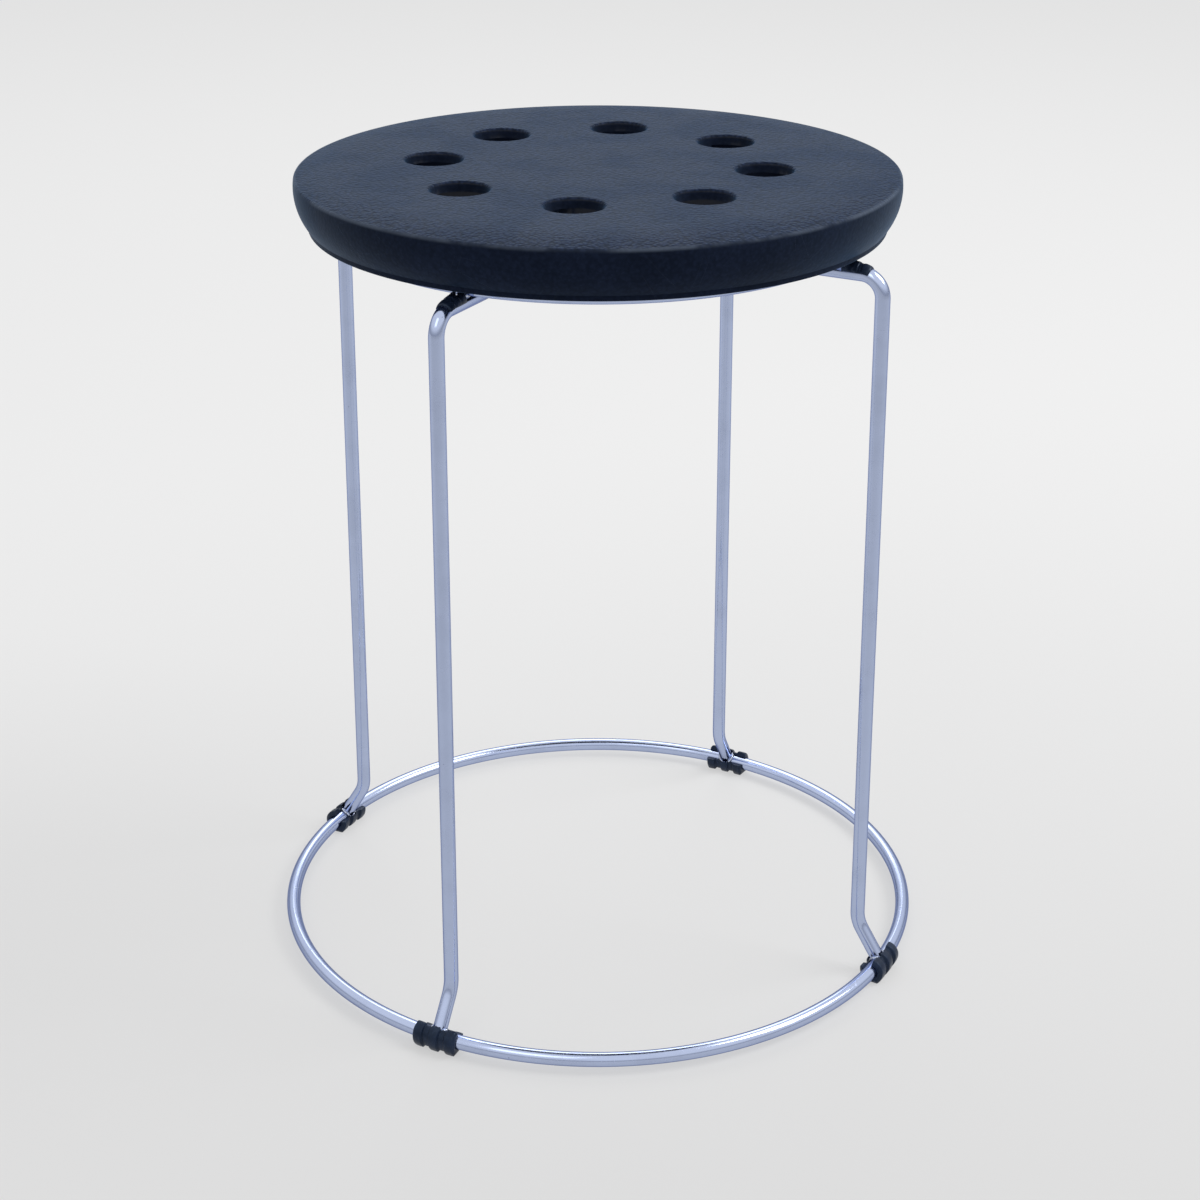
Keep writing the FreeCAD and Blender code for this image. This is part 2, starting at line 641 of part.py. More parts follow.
def make_foot_clip(side, angle):
    """Clip pressed on the base ring from below, notched where the leg comes down."""
    body = new_body(f"foot_clip_{side}", angle)
    name = body.Name
    per_length = f"180 / pi / {RING_RADIUS}"
    section = new_sketch(body, "XZ_Plane", f"{name}_section")
    sleeve_section(section, RING_RADIUS, RING_HEIGHT)
    turned(body, section, angle=f"Sizes.clip_length * {per_length}", midplane=True)

    swing = f"(Sizes.clip_length - Sizes.clip_rib_width) * {per_length}"
    rib = new_sketch(body, "XZ_Plane", f"{name}_rib", turn=f"-{swing} / 2")
    sleeve_section(rib, RING_RADIUS, RING_HEIGHT, grow="Sizes.clip_rib_height")
    band = turned(body, rib, angle=f"Sizes.clip_rib_width * {per_length}", midplane=True)
    repeat_round(body, band, "Sizes.clip_rib_count", angle=swing)

    room = "(Sizes.foot_bead_radius + Sizes.clip_notch_gap)"
    aside_x, aside_z = f"{room} * cos({KICK_ANGLE})", f"{room} * sin({KICK_ANGLE})"
    up_x = f"Sizes.kick_height * sin({KICK_ANGLE})"
    up_z = f"Sizes.kick_height * cos({KICK_ANGLE})"
    corners = [
        (RING_RADIUS, RING_HEIGHT),
        (f"{RING_RADIUS} + {aside_x}", f"{RING_HEIGHT} + {aside_z}"),
        (f"{RING_RADIUS} + {aside_x} - {up_x}", f"{RING_HEIGHT} + {aside_z} + {up_z}"),
        (f"{RING_RADIUS} - {up_x}", f"{RING_HEIGHT} + {up_z}"),
    ]
    notch = new_sketch(body, "XZ_Plane", f"{name}_notch")
    draw_outline(notch, corners)
    axis = notch.addGeometry(Part.LineSegment(spot(*corners[0]), spot(*corners[3])), True)
    notch.addConstraint(Sketcher.Constraint("Coincident", axis, 1, 0, 1))
    notch.addConstraint(Sketcher.Constraint("Coincident", axis, 2, 3, 1))
    turned(body, notch, kind="Groove", axis="Axis0")
    return body


def make_shoulder_clip(side, angle):
    """Wedge between a leg's run and the seat's edge: a saddle on the rod with a slot in its inner end."""
    body = new_body(f"shoulder_clip_{side}", angle)
    name = body.Name
    outer_end = f"{SADDLE_RADIUS} + Sizes.saddle_length"
    thick = saddle_section(body, f"{name}_thick", SADDLE_RADIUS, "Sizes.saddle_rise")
    thin = saddle_section(body, f"{name}_thin", outer_end, "0")
    loft(body, thick, thin)

    half = "Sizes.saddle_slot_width / 2"
    slot_end = f"{SADDLE_RADIUS} + Sizes.saddle_slot_depth"
    slot_start = f"{SADDLE_RADIUS} - Sizes.overrun"
    slot = new_sketch(body, "XY_Plane", f"{name}_slot", lift=RUN_HEIGHT)
    corners = [(slot_start, f"-{half}"), (slot_end, f"-{half}"), (slot_end, half), (slot_start, half)]
    draw_outline(slot, corners)
    back = f"{CHANNEL_RADIUS} + Sizes.saddle_wall + Sizes.saddle_rise"
    pocket(body, slot, f"{back} + Sizes.overrun", backwards=True)
    return body


# Lugs, screws and washers


def make_lug(side, angle):
    """Lug welded inside the upper ring, with a hole for the seat's screw."""
    body = new_body(f"seat_lug_{side}", angle)
    name = body.Name
    half = "Sizes.lug_width / 2"
    reach = f"{UPPER_RING_RADIUS} - Sizes.upper_rod_diameter / 4"
    corners = [
        (SCREW_RADIUS, f"-{half}"),
        (reach, f"-{half}"),
        (reach, half),
        (SCREW_RADIUS, half),
    ]
    plate = new_sketch(body, "XY_Plane", f"{name}_plate", lift=LUG_BOTTOM)
    draw_outline(plate, corners)
    pad(body, plate, "Sizes.lug_thickness")
    nose = new_sketch(body, "XY_Plane", f"{name}_nose", lift=LUG_BOTTOM)
    draw_circle(nose, SCREW_RADIUS, "0", half)
    pad(body, nose, "Sizes.lug_thickness")
    hole = new_sketch(body, "XY_Plane", f"{name}_hole", lift=LUG_TOP)
    draw_circle(hole, SCREW_RADIUS, "0", "(Sizes.screw_diameter + Sizes.lug_play) / 2")
    pocket(body, hole, "Sizes.lug_thickness + Sizes.overrun")
    ring = new_sketch(body, "XZ_Plane", f"{name}_ring")
    draw_circle(ring, UPPER_RING_RADIUS, UPPER_RING_HEIGHT, "Sizes.upper_rod_diameter / 2")
    turned(body, ring, kind="Groove")
    return body


def make_screw(side, angle):
    """Pan head screw for plastic, head down, with a cross recess."""
    body = new_body(f"screw_{side}", angle)
    name = body.Name
    shank = "Sizes.screw_diameter / 2"
    head = "Sizes.head_diameter / 2"
    low = f"({HEAD_SEAT} - Sizes.head_height)"
    corners = [
        (SCREW_RADIUS, low),
        (f"{SCREW_RADIUS} + {head} - Sizes.head_rounding", low),
        (f"{SCREW_RADIUS} + {head}", f"{low} + Sizes.head_rounding"),
        (f"{SCREW_RADIUS} + {head}", HEAD_SEAT),
        (f"{SCREW_RADIUS} + {shank}", HEAD_SEAT),
        (f"{SCREW_RADIUS} + {shank}", f"{SCREW_TIP} - Sizes.screw_tip_length"),
        (SCREW_RADIUS, SCREW_TIP),
    ]
    section = new_sketch(body, "XZ_Plane", f"{name}_section")
    draw_outline(section, corners, {1: ("Sizes.head_rounding", 1, False)})
    axis = section.addGeometry(Part.LineSegment(spot(*corners[0]), spot(*corners[6])), True)
    section.addConstraint(Sketcher.Constraint("Coincident", axis, 1, 0, 1))
    section.addConstraint(Sketcher.Constraint("Coincident", axis, 2, 6, 1))
    turned(body, section, axis="Axis0")
    arm, slot = "Sizes.recess_length / 2", "Sizes.recess_width / 2"
    recess = new_sketch(body, "XY_Plane", f"{name}_recess", lift=low)
    cross = [
        (arm, slot), (slot, slot), (slot, arm), (f"-{slot}", arm),
        (f"-{slot}", slot), (f"-{arm}", slot), (f"-{arm}", f"-{slot}"), (f"-{slot}", f"-{slot}"),
        (f"-{slot}", f"-{arm}"), (slot, f"-{arm}"), (slot, f"-{slot}"), (arm, f"-{slot}"),
    ]
    draw_outline(recess, [(f"{SCREW_RADIUS} + {x}", y) for x, y in cross])
    pocket(body, recess, "Sizes.recess_depth", backwards=True)
    return body


def make_washer(side, angle):
    """Plain washer between a screw head and its lug."""
    body = new_body(f"washer_{side}", angle)
    sketch = new_sketch(body, "XY_Plane", f"{body.Name}_ring", lift=HEAD_SEAT)
    draw_circle(sketch, SCREW_RADIUS, "0", "Sizes.washer_diameter / 2")
    draw_circle(sketch, SCREW_RADIUS, "0", "(Sizes.screw_diameter + Sizes.washer_play) / 2")
    pad(body, sketch, "Sizes.washer_thickness")
    return body


def group(label, solids):
    """Identical small pieces as separate solids of one sub-part."""
    made = doc.addObject("Part::Compound", label)
    made.Label = label
    made.Links = solids
    return made


# Weld beads


def cut_away(label, shape, tools):
    """What is left of a shape outside the tools, as a sub-part."""
    for index, tool in enumerate(tools):
        cut = doc.addObject("Part::Cut", f"{label}_{index}")
        cut.Base = shape
        cut.Tool = tool
        shape = cut
    shape.Label = label
    return shape


def place_round(shape, angle, radius, height):
    """Put a primitive at a radius and height, turned round the stool by an angle."""
    shape.Placement = FreeCAD.Placement(
        FreeCAD.Vector(), FreeCAD.Rotation(FreeCAD.Vector(0, 0, 1), angle)
    )
    shape.setExpression("Placement.Base.x", f"({radius}) * cos({angle})")
    shape.setExpression("Placement.Base.y", f"({radius}) * sin({angle})")
    shape.setExpression("Placement.Base.z", height)


def crossing_bead(label, angle, radius, height, bead, tools):
    """A bead round the place where two rods touch."""
    ball = doc.addObject("Part::Sphere", f"{label}_ball")
    ball.setExpression("Radius", bead)
    place_round(ball, angle, radius, height)
    return cut_away(label, ball, tools)


def lug_bead(label, angle, tools):
    """A bead along the lower edge between a lug and the upper ring."""
    bar = doc.addObject("Part::Cylinder", f"{label}_bar")
    bar.setExpression("Radius", "Sizes.lug_bead_radius")
    bar.setExpression("Height", "Sizes.lug_bead_length")
    lie_down = FreeCAD.Rotation(FreeCAD.Vector(1, 0, 0), 90)
    bar.Placement = FreeCAD.Placement(
        FreeCAD.Vector(), FreeCAD.Rotation(FreeCAD.Vector(0, 0, 1), angle) * lie_down
    )
    radius = f"({UPPER_RING_RADIUS} - Sizes.upper_rod_diameter / 2)"
    half = "Sizes.lug_bead_length / 2"
    bar.setExpression("Placement.Base.x", f"{radius} * cos({angle}) - {half} * sin({angle})")
    bar.setExpression("Placement.Base.y", f"{radius} * sin({angle}) + {half} * cos({angle})")
    bar.setExpression("Placement.Base.z", LUG_BOTTOM)
    return cut_away(label, bar, tools)


def make_welds(legs, lugs, base_ring, upper_ring):
    """The beads at the feet, under the upper ring and along the lugs."""
    foot_radius = f"{RING_RADIUS} - Sizes.rod_diameter / 2 * sin({KICK_ANGLE})"
    foot_height = f"{RING_HEIGHT} + Sizes.rod_diameter / 2 * cos({KICK_ANGLE})"
    cross_height = f"{RUN_HEIGHT} + Sizes.rod_diameter / 2 - Sizes.upper_weld_set / 2"
    beads = []
    for (side, angle), leg in zip(LEG_SIDES.items(), legs):
        foot = (f"foot_weld_{side}", angle, foot_radius, foot_height, "Sizes.foot_bead_radius")
        beads.append(crossing_bead(*foot, [leg, base_ring]))
        upper = (f"upper_weld_{side}", angle, UPPER_RING_RADIUS, cross_height, "Sizes.upper_bead_radius")
        beads.append(crossing_bead(*upper, [leg, upper_ring]))
    for (side, angle), lug in zip(LUG_SIDES.items(), lugs):
        beads.append(lug_bead(f"lug_weld_{side}", angle, [lug, upper_ring]))
    return beads


def make_stool():
    """Every sub-part, from the seat down."""
    seat = make_seat()
    upper_ring = make_ring(
        "upper_ring", UPPER_RING_RADIUS, "Sizes.upper_rod_diameter", UPPER_RING_HEIGHT
    )
    base_ring = make_ring("base_ring", RING_RADIUS, "Sizes.rod_diameter", RING_HEIGHT)
    legs = [make_leg(side, angle) for side, angle in LEG_SIDES.items()]
    foot_clips = [make_foot_clip(side, angle) for side, angle in LEG_SIDES.items()]
    shoulder_clips = [make_shoulder_clip(side, angle) for side, angle in LEG_SIDES.items()]
    lugs = [make_lug(side, angle) for side, angle in LUG_SIDES.items()]
    screws = group("seat_screws", [make_screw(side, angle) for side, angle in LUG_SIDES.items()])
    washers = group("seat_washers", [make_washer(side, angle) for side, angle in LUG_SIDES.items()])
    welds = make_welds(legs, lugs, base_ring, upper_ring)
    rings = [upper_ring, base_ring]
    return [seat, *rings, *legs, *foot_clips, *shoulder_clips, *lugs, screws, washers, *welds]


def check_document():
    """Stop if any object of the document failed to build."""
    for item in doc.Objects:
        if {"Invalid", "Error"} & set(item.State):
            raise RuntimeError(f"{item.Label} failed: {item.State}")


def check_shape(item):
    """Stop if a sub-part has no sound solid."""
    shape = item.Shape
    if shape.isNull() or not shape.isValid() or not shape.Solids:
        raise RuntimeError(f"{item.Label} has no valid solid")
    for solid in shape.Solids:
        if solid.Volume <= 0 or not solid.isClosed():
            raise RuntimeError(f"{item.Label} has an open or empty solid")


def export(items):
    """Write each sub-part to its own file."""
    os.makedirs("parts", exist_ok=True)
    for item in items:
        item.Shape.exportStep(f"parts/{item.Label}.step")
        print(f"{item.Label}: {len(item.Shape.Solids)} solid(s), {item.Shape.Volume:.1f} mm3")


stool = make_stool()
doc.recompute()
check_document()
for sub_part in stool:
    check_shape(sub_part)
export(stool)
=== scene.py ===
"""Looks of the low round stacking stool: a moulded seat with eight holes on a frame of bent chrome rod.

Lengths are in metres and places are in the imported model's frame: +Z up, the floor at zero, the front
towards -Y, and the four legs on the diagonals. Each piece is drawn where a leg or lug points along +X
and is then turned to its own side of the stool.
"""

import logging
import math
from collections.abc import Callable, Iterable, Sequence
from dataclasses import dataclass, field
from enum import Enum
from functools import cached_property

import bmesh
import bpy
from bmesh.types import BMEdge, BMesh, BMVert
from mathutils import Matrix, Vector


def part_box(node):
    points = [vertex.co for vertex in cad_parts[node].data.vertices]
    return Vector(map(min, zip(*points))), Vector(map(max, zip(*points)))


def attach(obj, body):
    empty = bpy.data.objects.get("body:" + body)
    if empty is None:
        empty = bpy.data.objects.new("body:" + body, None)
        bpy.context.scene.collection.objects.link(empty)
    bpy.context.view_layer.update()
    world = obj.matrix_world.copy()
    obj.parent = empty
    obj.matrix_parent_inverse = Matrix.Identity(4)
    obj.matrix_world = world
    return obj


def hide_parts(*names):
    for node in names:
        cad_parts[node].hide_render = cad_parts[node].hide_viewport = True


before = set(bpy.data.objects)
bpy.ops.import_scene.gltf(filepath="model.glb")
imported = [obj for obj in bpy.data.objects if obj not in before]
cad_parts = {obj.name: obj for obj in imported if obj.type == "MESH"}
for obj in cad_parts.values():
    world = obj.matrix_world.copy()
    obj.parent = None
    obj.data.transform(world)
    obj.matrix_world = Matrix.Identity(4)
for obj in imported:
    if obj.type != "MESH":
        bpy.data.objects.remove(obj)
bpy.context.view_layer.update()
BODY = "root"
LOG = logging.getLogger("stacking_stool")

MM = 0.001
EPSILON = 1e-6
SLIVER = 1.5e-6
FLAT_ANGLE = math.radians(0.5)
UP = Vector((0, 0, 1))

Colour = tuple[float, float, float]
Station = Callable[[Vector], Vector]


class Slot(Enum):
    """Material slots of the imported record."""

    SEAT = "seat_plastic"
    CHROME = "chrome_rod"
    CLIP = "clip_plastic"
    STEEL = "fixing_steel"


class Spoke(Enum):
    """A direction out from the stool's axis, in degrees from +X."""

    @property
    def side(self) -> str:
        """The words that the nodes' names use for it."""
        return self.name.lower()

    @property
    def turn(self) -> Matrix:
        """The turn from +X to it."""
        return Matrix.Rotation(math.radians(self.value), 4, "Z")


class LegPlace(Spoke):
    """The four diagonals that carry a leg."""

    BACK_RIGHT = 45
    BACK_LEFT = 135
    FRONT_LEFT = 225
    FRONT_RIGHT = 315


class LugPlace(Spoke):
    """The four sides that carry a lug."""

    RIGHT = 0
    BACK = 90
    LEFT = 180
    FRONT = 270


def clock(dx: float, dz: float) -> float:
    """Angle of a direction in the XZ plane, clockwise from straight up."""
    return math.atan2(dx, dz)


def smooth_step(share: float) -> float:
    """A share, kept from 0 to 1 and eased at both ends."""
    share = min(max(share, 0.0), 1.0)
    return share * share * (3 - 2 * share)


class Workpiece:
    """A mesh on the bench. It begins as an empty bmesh and ends as one finished object of the stool."""

    def __init__(self) -> None:
        """Put an empty mesh on the bench."""
        self.bm: BMesh = bmesh.new()
        self.mark = self.bm.verts.layers.int.new("section_point")

    @classmethod
    def copy_of(cls, node: str) -> "Workpiece":
        """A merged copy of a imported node's mesh, with its flat faces whole again.

        Args:
            node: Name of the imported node.

        Returns:
            The copy, ready for bevels and a finish.
        """
        piece = cls()
        piece.bm.from_mesh(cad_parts[node].data)
        bmesh.ops.remove_doubles(piece.bm, verts=piece.bm.verts, dist=EPSILON)
        bmesh.ops.dissolve_limit(
            piece.bm, angle_limit=FLAT_ANGLE, verts=piece.bm.verts, edges=piece.bm.edges
        )
        return piece

    def circle(self, radius: float, sides: int) -> list[BMEdge]:
        """Lay a circle round +X at the origin.

        Args:
            radius: Radius of the circle.
            sides: Number of its sides.

        Returns:
            Its edges.
        """
        upright = Matrix.Rotation(math.radians(90), 4, "Y")
        made = bmesh.ops.create_circle(self.bm, radius=radius, segments=sides, matrix=upright)
        return list({edge for vert in made["verts"] for edge in vert.link_edges})

    def sweep(self, loop: list[BMEdge], stations: Sequence[Station], is_closed: bool = False) -> None:
        """Extrude a closed loop from station to station.

        Args:
            loop: Edges of the flat section, drawn about the origin.
            stations: For each stop, where a point of the flat section goes.
            is_closed: Whether the last stop joins the first, else both ends are capped.
        """
        flat = {}
        for index, vert in enumerate({v for edge in loop for v in edge.verts}):
            vert[self.mark] = index
            flat[index] = vert.co.copy()
        first = loop
        for number, place in enumerate(stations):
            if number:
                made = bmesh.ops.extrude_edge_only(self.bm, edges=loop)["geom"]
                loop = [item for item in made if isinstance(item, BMEdge)]
            for vert in {v for edge in loop for v in edge.verts}:
                vert.co = place(flat[vert[self.mark]])
        if is_closed:
            bmesh.ops.bridge_loops(self.bm, edges=first + loop)
        else:
            for end in (first, loop):
                bmesh.ops.edgeloop_fill(self.bm, edges=end)

    def spin_all(self, steps: int, verts: Iterable[BMVert] | None = None) -> None:
        """Spin the drawn profile once round the upright axis.

        Args:
            steps: Number of steps of the full turn.
            verts: The profile's vertices, or None for all.
        """
        verts = list(self.bm.verts if verts is None else verts)
        edges = list({edge for vert in verts for edge in vert.link_edges})
        bmesh.ops.spin(
            self.bm, geom=verts + edges, cent=(0, 0, 0), axis=UP, angle=math.tau, steps=steps, use_merge=True
        )
        bmesh.ops.remove_doubles(self.bm, verts=self.bm.verts, dist=EPSILON)

    def plate(self, thickness: float) -> None:
        """Turn the drawn closed outline in the XZ plane into a plate with its middle at y = 0.

        Args:
            thickness: Thickness of the plate, along Y.
        """
        face = bmesh.ops.contextual_create(self.bm, geom=self.bm.edges[:])["faces"]
        made = bmesh.ops.extrude_face_region(self.bm, geom=face)["geom"]
        pushed = [item for item in made if isinstance(item, BMVert)]
        bmesh.ops.translate(self.bm, verts=pushed, vec=(0, thickness, 0))
        bmesh.ops.translate(self.bm, verts=self.bm.verts, vec=(0, -thickness / 2, 0))

    def soften(self, width: float, segments: int = 2, sharper_than: float = 35.0) -> None:
        """Bevel every sharp edge.

        Args:
            width: Width of the bevel.
            segments: Its segments.
            sharper_than: Least angle between two faces, in degrees.
        """
        limit = math.radians(sharper_than)
        edges = [e for e in self.bm.edges if e.is_manifold and e.calc_face_angle() > limit]
        bmesh.ops.bevel(
            self.bm, geom=edges, offset=width, segments=segments, profile=0.5, affect="EDGES", material=-1
        )

    def place(self, matrix: Matrix) -> "Workpiece":
        """Move all of the mesh. Returns the piece itself."""
        bmesh.ops.transform(self.bm, matrix=matrix, verts=self.bm.verts)
        return self

    def to_object(self, name: str, smooth_under: float = 32.0) -> bpy.types.Object:
        """End the work: point the faces outwards and make a smooth-shaded object.

        Args:
            name: Name of the piece.
            smooth_under: Edges with a larger angle stay sharp, in degrees.

        Returns:
            The object, at the origin, with its place in its mesh.
        """
        bmesh.ops.recalc_face_normals(self.bm, faces=self.bm.faces)
        self.bm.verts.layers.int.remove(self.mark)
        mesh = bpy.data.meshes.new(name)
        self.bm.to_mesh(mesh)
        self.bm.free()
        mesh.shade_smooth()
        mesh.set_sharp_from_angle(angle=math.radians(smooth_under))
        made = bpy.data.objects.new(name, mesh)
        bpy.context.scene.collection.objects.link(made)
        return made


class Profile:
    """A line in the XZ plane of a workpiece, drawn from point to point for a spin or a plate."""

    def __init__(self, piece: Workpiece, x: float, z: float) -> None:
        """Set the first point.

        Args:
            piece: The workpiece that is drawn on.
            x: Place of the point, along X.
            z: Place of the point, along Z.
        """
        self.bm = piece.bm
        self.older = set(self.bm.verts)
        self.start = self.tip = self.bm.verts.new((x, 0, z))

    @property
    def verts(self) -> list[BMVert]:
        """All vertices that this profile has drawn."""
        return [vert for vert in self.bm.verts if vert not in self.older]

    def line(self, x: float, z: float) -> "Profile":
        """Draw a straight line.

        Args:
            x: Place of its end, along X.
            z: Place of its end, along Z.

        Returns:
            The profile itself.
        """
        self.tip = bmesh.ops.extrude_vert_indiv(self.bm, verts=[self.tip])["verts"][0]
        self.tip.co = (x, 0, z)
        return self

    def arc(self, x: float, z: float, turn: float, steps: int) -> "Profile":
        """Draw an arc about a centre.

        Args:
            x: Centre of the arc, along X.
            z: Centre of the arc, along Z.
            turn: Angle of the arc, clockwise with +X to the right.
            steps: Its number of edges.

        Returns:
            The profile itself.
        """
        made = bmesh.ops.spin(
            self.bm, geom=[self.tip], cent=(x, 0, z), axis=(0, 1, 0), angle=turn, steps=steps
        )
        self.tip = next(item for item in made["geom_last"] if isinstance(item, BMVert))
        return self

    def close(self) -> list[BMEdge]:
        """Join the last point to the first. Returns the outline's edges."""
        bmesh.ops.contextual_create(self.bm, geom=[self.tip, self.start])
        return list({edge for vert in self.verts for edge in vert.link_edges})


def unite(target: bpy.types.Object, tool: bpy.types.Object, operation: str = "UNION") -> None:
    """Merge a closed mesh into another, or cut it away, and drop the tool.

    Args:
        target: Object that is changed.
        tool: Object that is used up.
        operation: UNION or DIFFERENCE.
    """
    boolean = target.modifiers.new("joint", "BOOLEAN")
    boolean.operation = operation
    boolean.solver = "MANIFOLD"
    boolean.object = tool
    done = bpy.data.meshes.new_from_object(target.evaluated_get(bpy.context.evaluated_depsgraph_get()))
    target.modifiers.clear()
    target.data = done
    bpy.data.objects.remove(tool)


def clean(piece: bpy.types.Object) -> None:
    """Merge the slivers that cuts and joints leave, so that a mesh is closed and has no flat triangles.

    Args:
        piece: Object whose mesh is cleaned.
    """
    mesh = bmesh.new()
    mesh.from_mesh(piece.data)
    bmesh.ops.remove_doubles(mesh, verts=mesh.verts, dist=SLIVER)
    bmesh.ops.dissolve_degenerate(mesh, dist=SLIVER, edges=mesh.edges)
    bmesh.ops.triangulate(mesh, faces=[face for face in mesh.faces if len(face.verts) > 4])
    bmesh.ops.dissolve_degenerate(mesh, dist=SLIVER, edges=mesh.edges)
    LOG.info("%s: %d open edges", piece.name, sum(not edge.is_manifold for edge in mesh.edges))
    mesh.to_mesh(piece.data)
    mesh.free()


def dress(piece: bpy.types.Object, material: bpy.types.Material, slot: Slot, node: str) -> None:
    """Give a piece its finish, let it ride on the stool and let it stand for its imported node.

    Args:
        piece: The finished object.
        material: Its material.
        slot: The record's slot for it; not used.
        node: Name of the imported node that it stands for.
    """
    piece.data.materials.clear()
    piece.data.materials.append(material)
    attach(piece, BODY)
    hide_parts(node)
    LOG.info("%s: %d faces, for %s", piece.name, len(piece.data.polygons), node)


class NodeBoard:
    """A node tree with short ways to place and join nodes."""

    def __init__(self, tree: bpy.types.NodeTree) -> None:
        """Take a tree to work on."""
        self.tree = tree
        self.column = 0

    def add(
        self, kind: str, inputs: dict[str | int, object] | None = None, **settings: object
    ) -> bpy.types.Node:
        """Place a node.

        Args:
            kind: Its type, without the prefix ShaderNode.
            inputs: Values or sockets for its inputs, by name.
            settings: Its own properties.

        Returns:
            The node.
        """
        node = self.tree.nodes.new(f"ShaderNode{kind}")
        node.location = (220 * self.column, 0)
        self.column += 1
        for name, value in settings.items():
            setattr(node, name, value)
        for name, value in (inputs or {}).items():
            self.feed(node.inputs[name], value)
        return node

    def feed(self, socket: bpy.types.NodeSocket, value: object) -> None:
        """Set an input to a value, or link it to a socket.

        Args:
            socket: The input.
            value: Number, colour or socket.
        """
        if isinstance(value, bpy.types.NodeSocket):
            self.tree.links.new(value, socket)
        else:
            socket.default_value = value

    def math(self, operation: str, first: object, second: object = 0.0) -> bpy.types.NodeSocket:
        """Reckon with two values.

        Args:
            operation: Blender's name of the sum.
            first: Number or socket.
            second: Number or socket.

        Returns:
            The result.
        """
        node = self.add("Math", operation=operation)
        self.feed(node.inputs[0], first)
        self.feed(node.inputs[1], second)
        return node.outputs[0]

    def times(self, first: object, second: object) -> bpy.types.NodeSocket:
        """Product of two values. Returns its socket."""
        return self.math("MULTIPLY", first, second)

    def most(self, first: object, second: object) -> bpy.types.NodeSocket:
        """The larger of two values. Returns its socket."""
        return self.math("MAXIMUM", first, second)

    def between(
        self, value: object, low: float, high: float, start: float = 0.0, end: float = 1.0
    ) -> bpy.types.NodeSocket:
        """Let one value go smoothly from start to end as another goes from low to high.

        Args:
            value: Number or socket that leads.
            low: Where it starts to count.
            high: Where it ends.
            start: Result up to low.
            end: Result from high.

        Returns:
            The result.
        """
        node = self.add(
            "MapRange",
            {"Value": value, "From Min": low, "From Max": high, "To Min": start, "To Max": end},
            interpolation_type="SMOOTHSTEP",
        )
        return node.outputs[0]

    def blend(self, share: object, first: object, second: object) -> bpy.types.NodeSocket:
        """Mix two colours by a share.

        Args:
            share: 0 for the first colour and 1 for the second.
            first: Colour or socket.
            second: Colour or socket.

        Returns:
            The mixed colour.
        """
        node = self.add("Mix", data_type="RGBA")
        for index, value in ((0, share), (6, first), (7, second)):
            is_colour = index and not isinstance(value, bpy.types.NodeSocket)
            self.feed(node.inputs[index], (*value, 1) if is_colour else value)
        return node.outputs[2]

    def reach(self, place: bpy.types.NodeSocket) -> bpy.types.NodeSocket:
        """Distance of a place from the upright axis. Returns its socket."""
        flat = self.add("VectorMath", {0: place, 1: (1, 1, 0)}, operation="MULTIPLY").outputs[0]
        return self.add("VectorMath", {0: flat}, operation="LENGTH").outputs["Value"]

    def effect(self, group: bpy.types.NodeTree, **values: object) -> bpy.types.NodeSocket:
        """Place a shared effect with its own values.

        Args:
            group: The effect.
            values: Values or sockets for its inputs, by name.

        Returns:
            Its output.
        """
        node = self.add("Group", node_tree=group)
        for name, value in values.items():
            self.feed(node.inputs[name.title()], value)
        return node.outputs[0]

    def upwards(self, place: bpy.types.NodeSocket) -> bpy.types.NodeSocket:
        """Height of a place. Returns its socket."""
        return self.add("SeparateXYZ", {"Vector": place}).outputs["Z"]

    def place(self) -> bpy.types.NodeSocket:
        """Place of the surface's point in the stool's frame. Returns its socket."""
        return self.add("TexCoord").outputs["Object"]


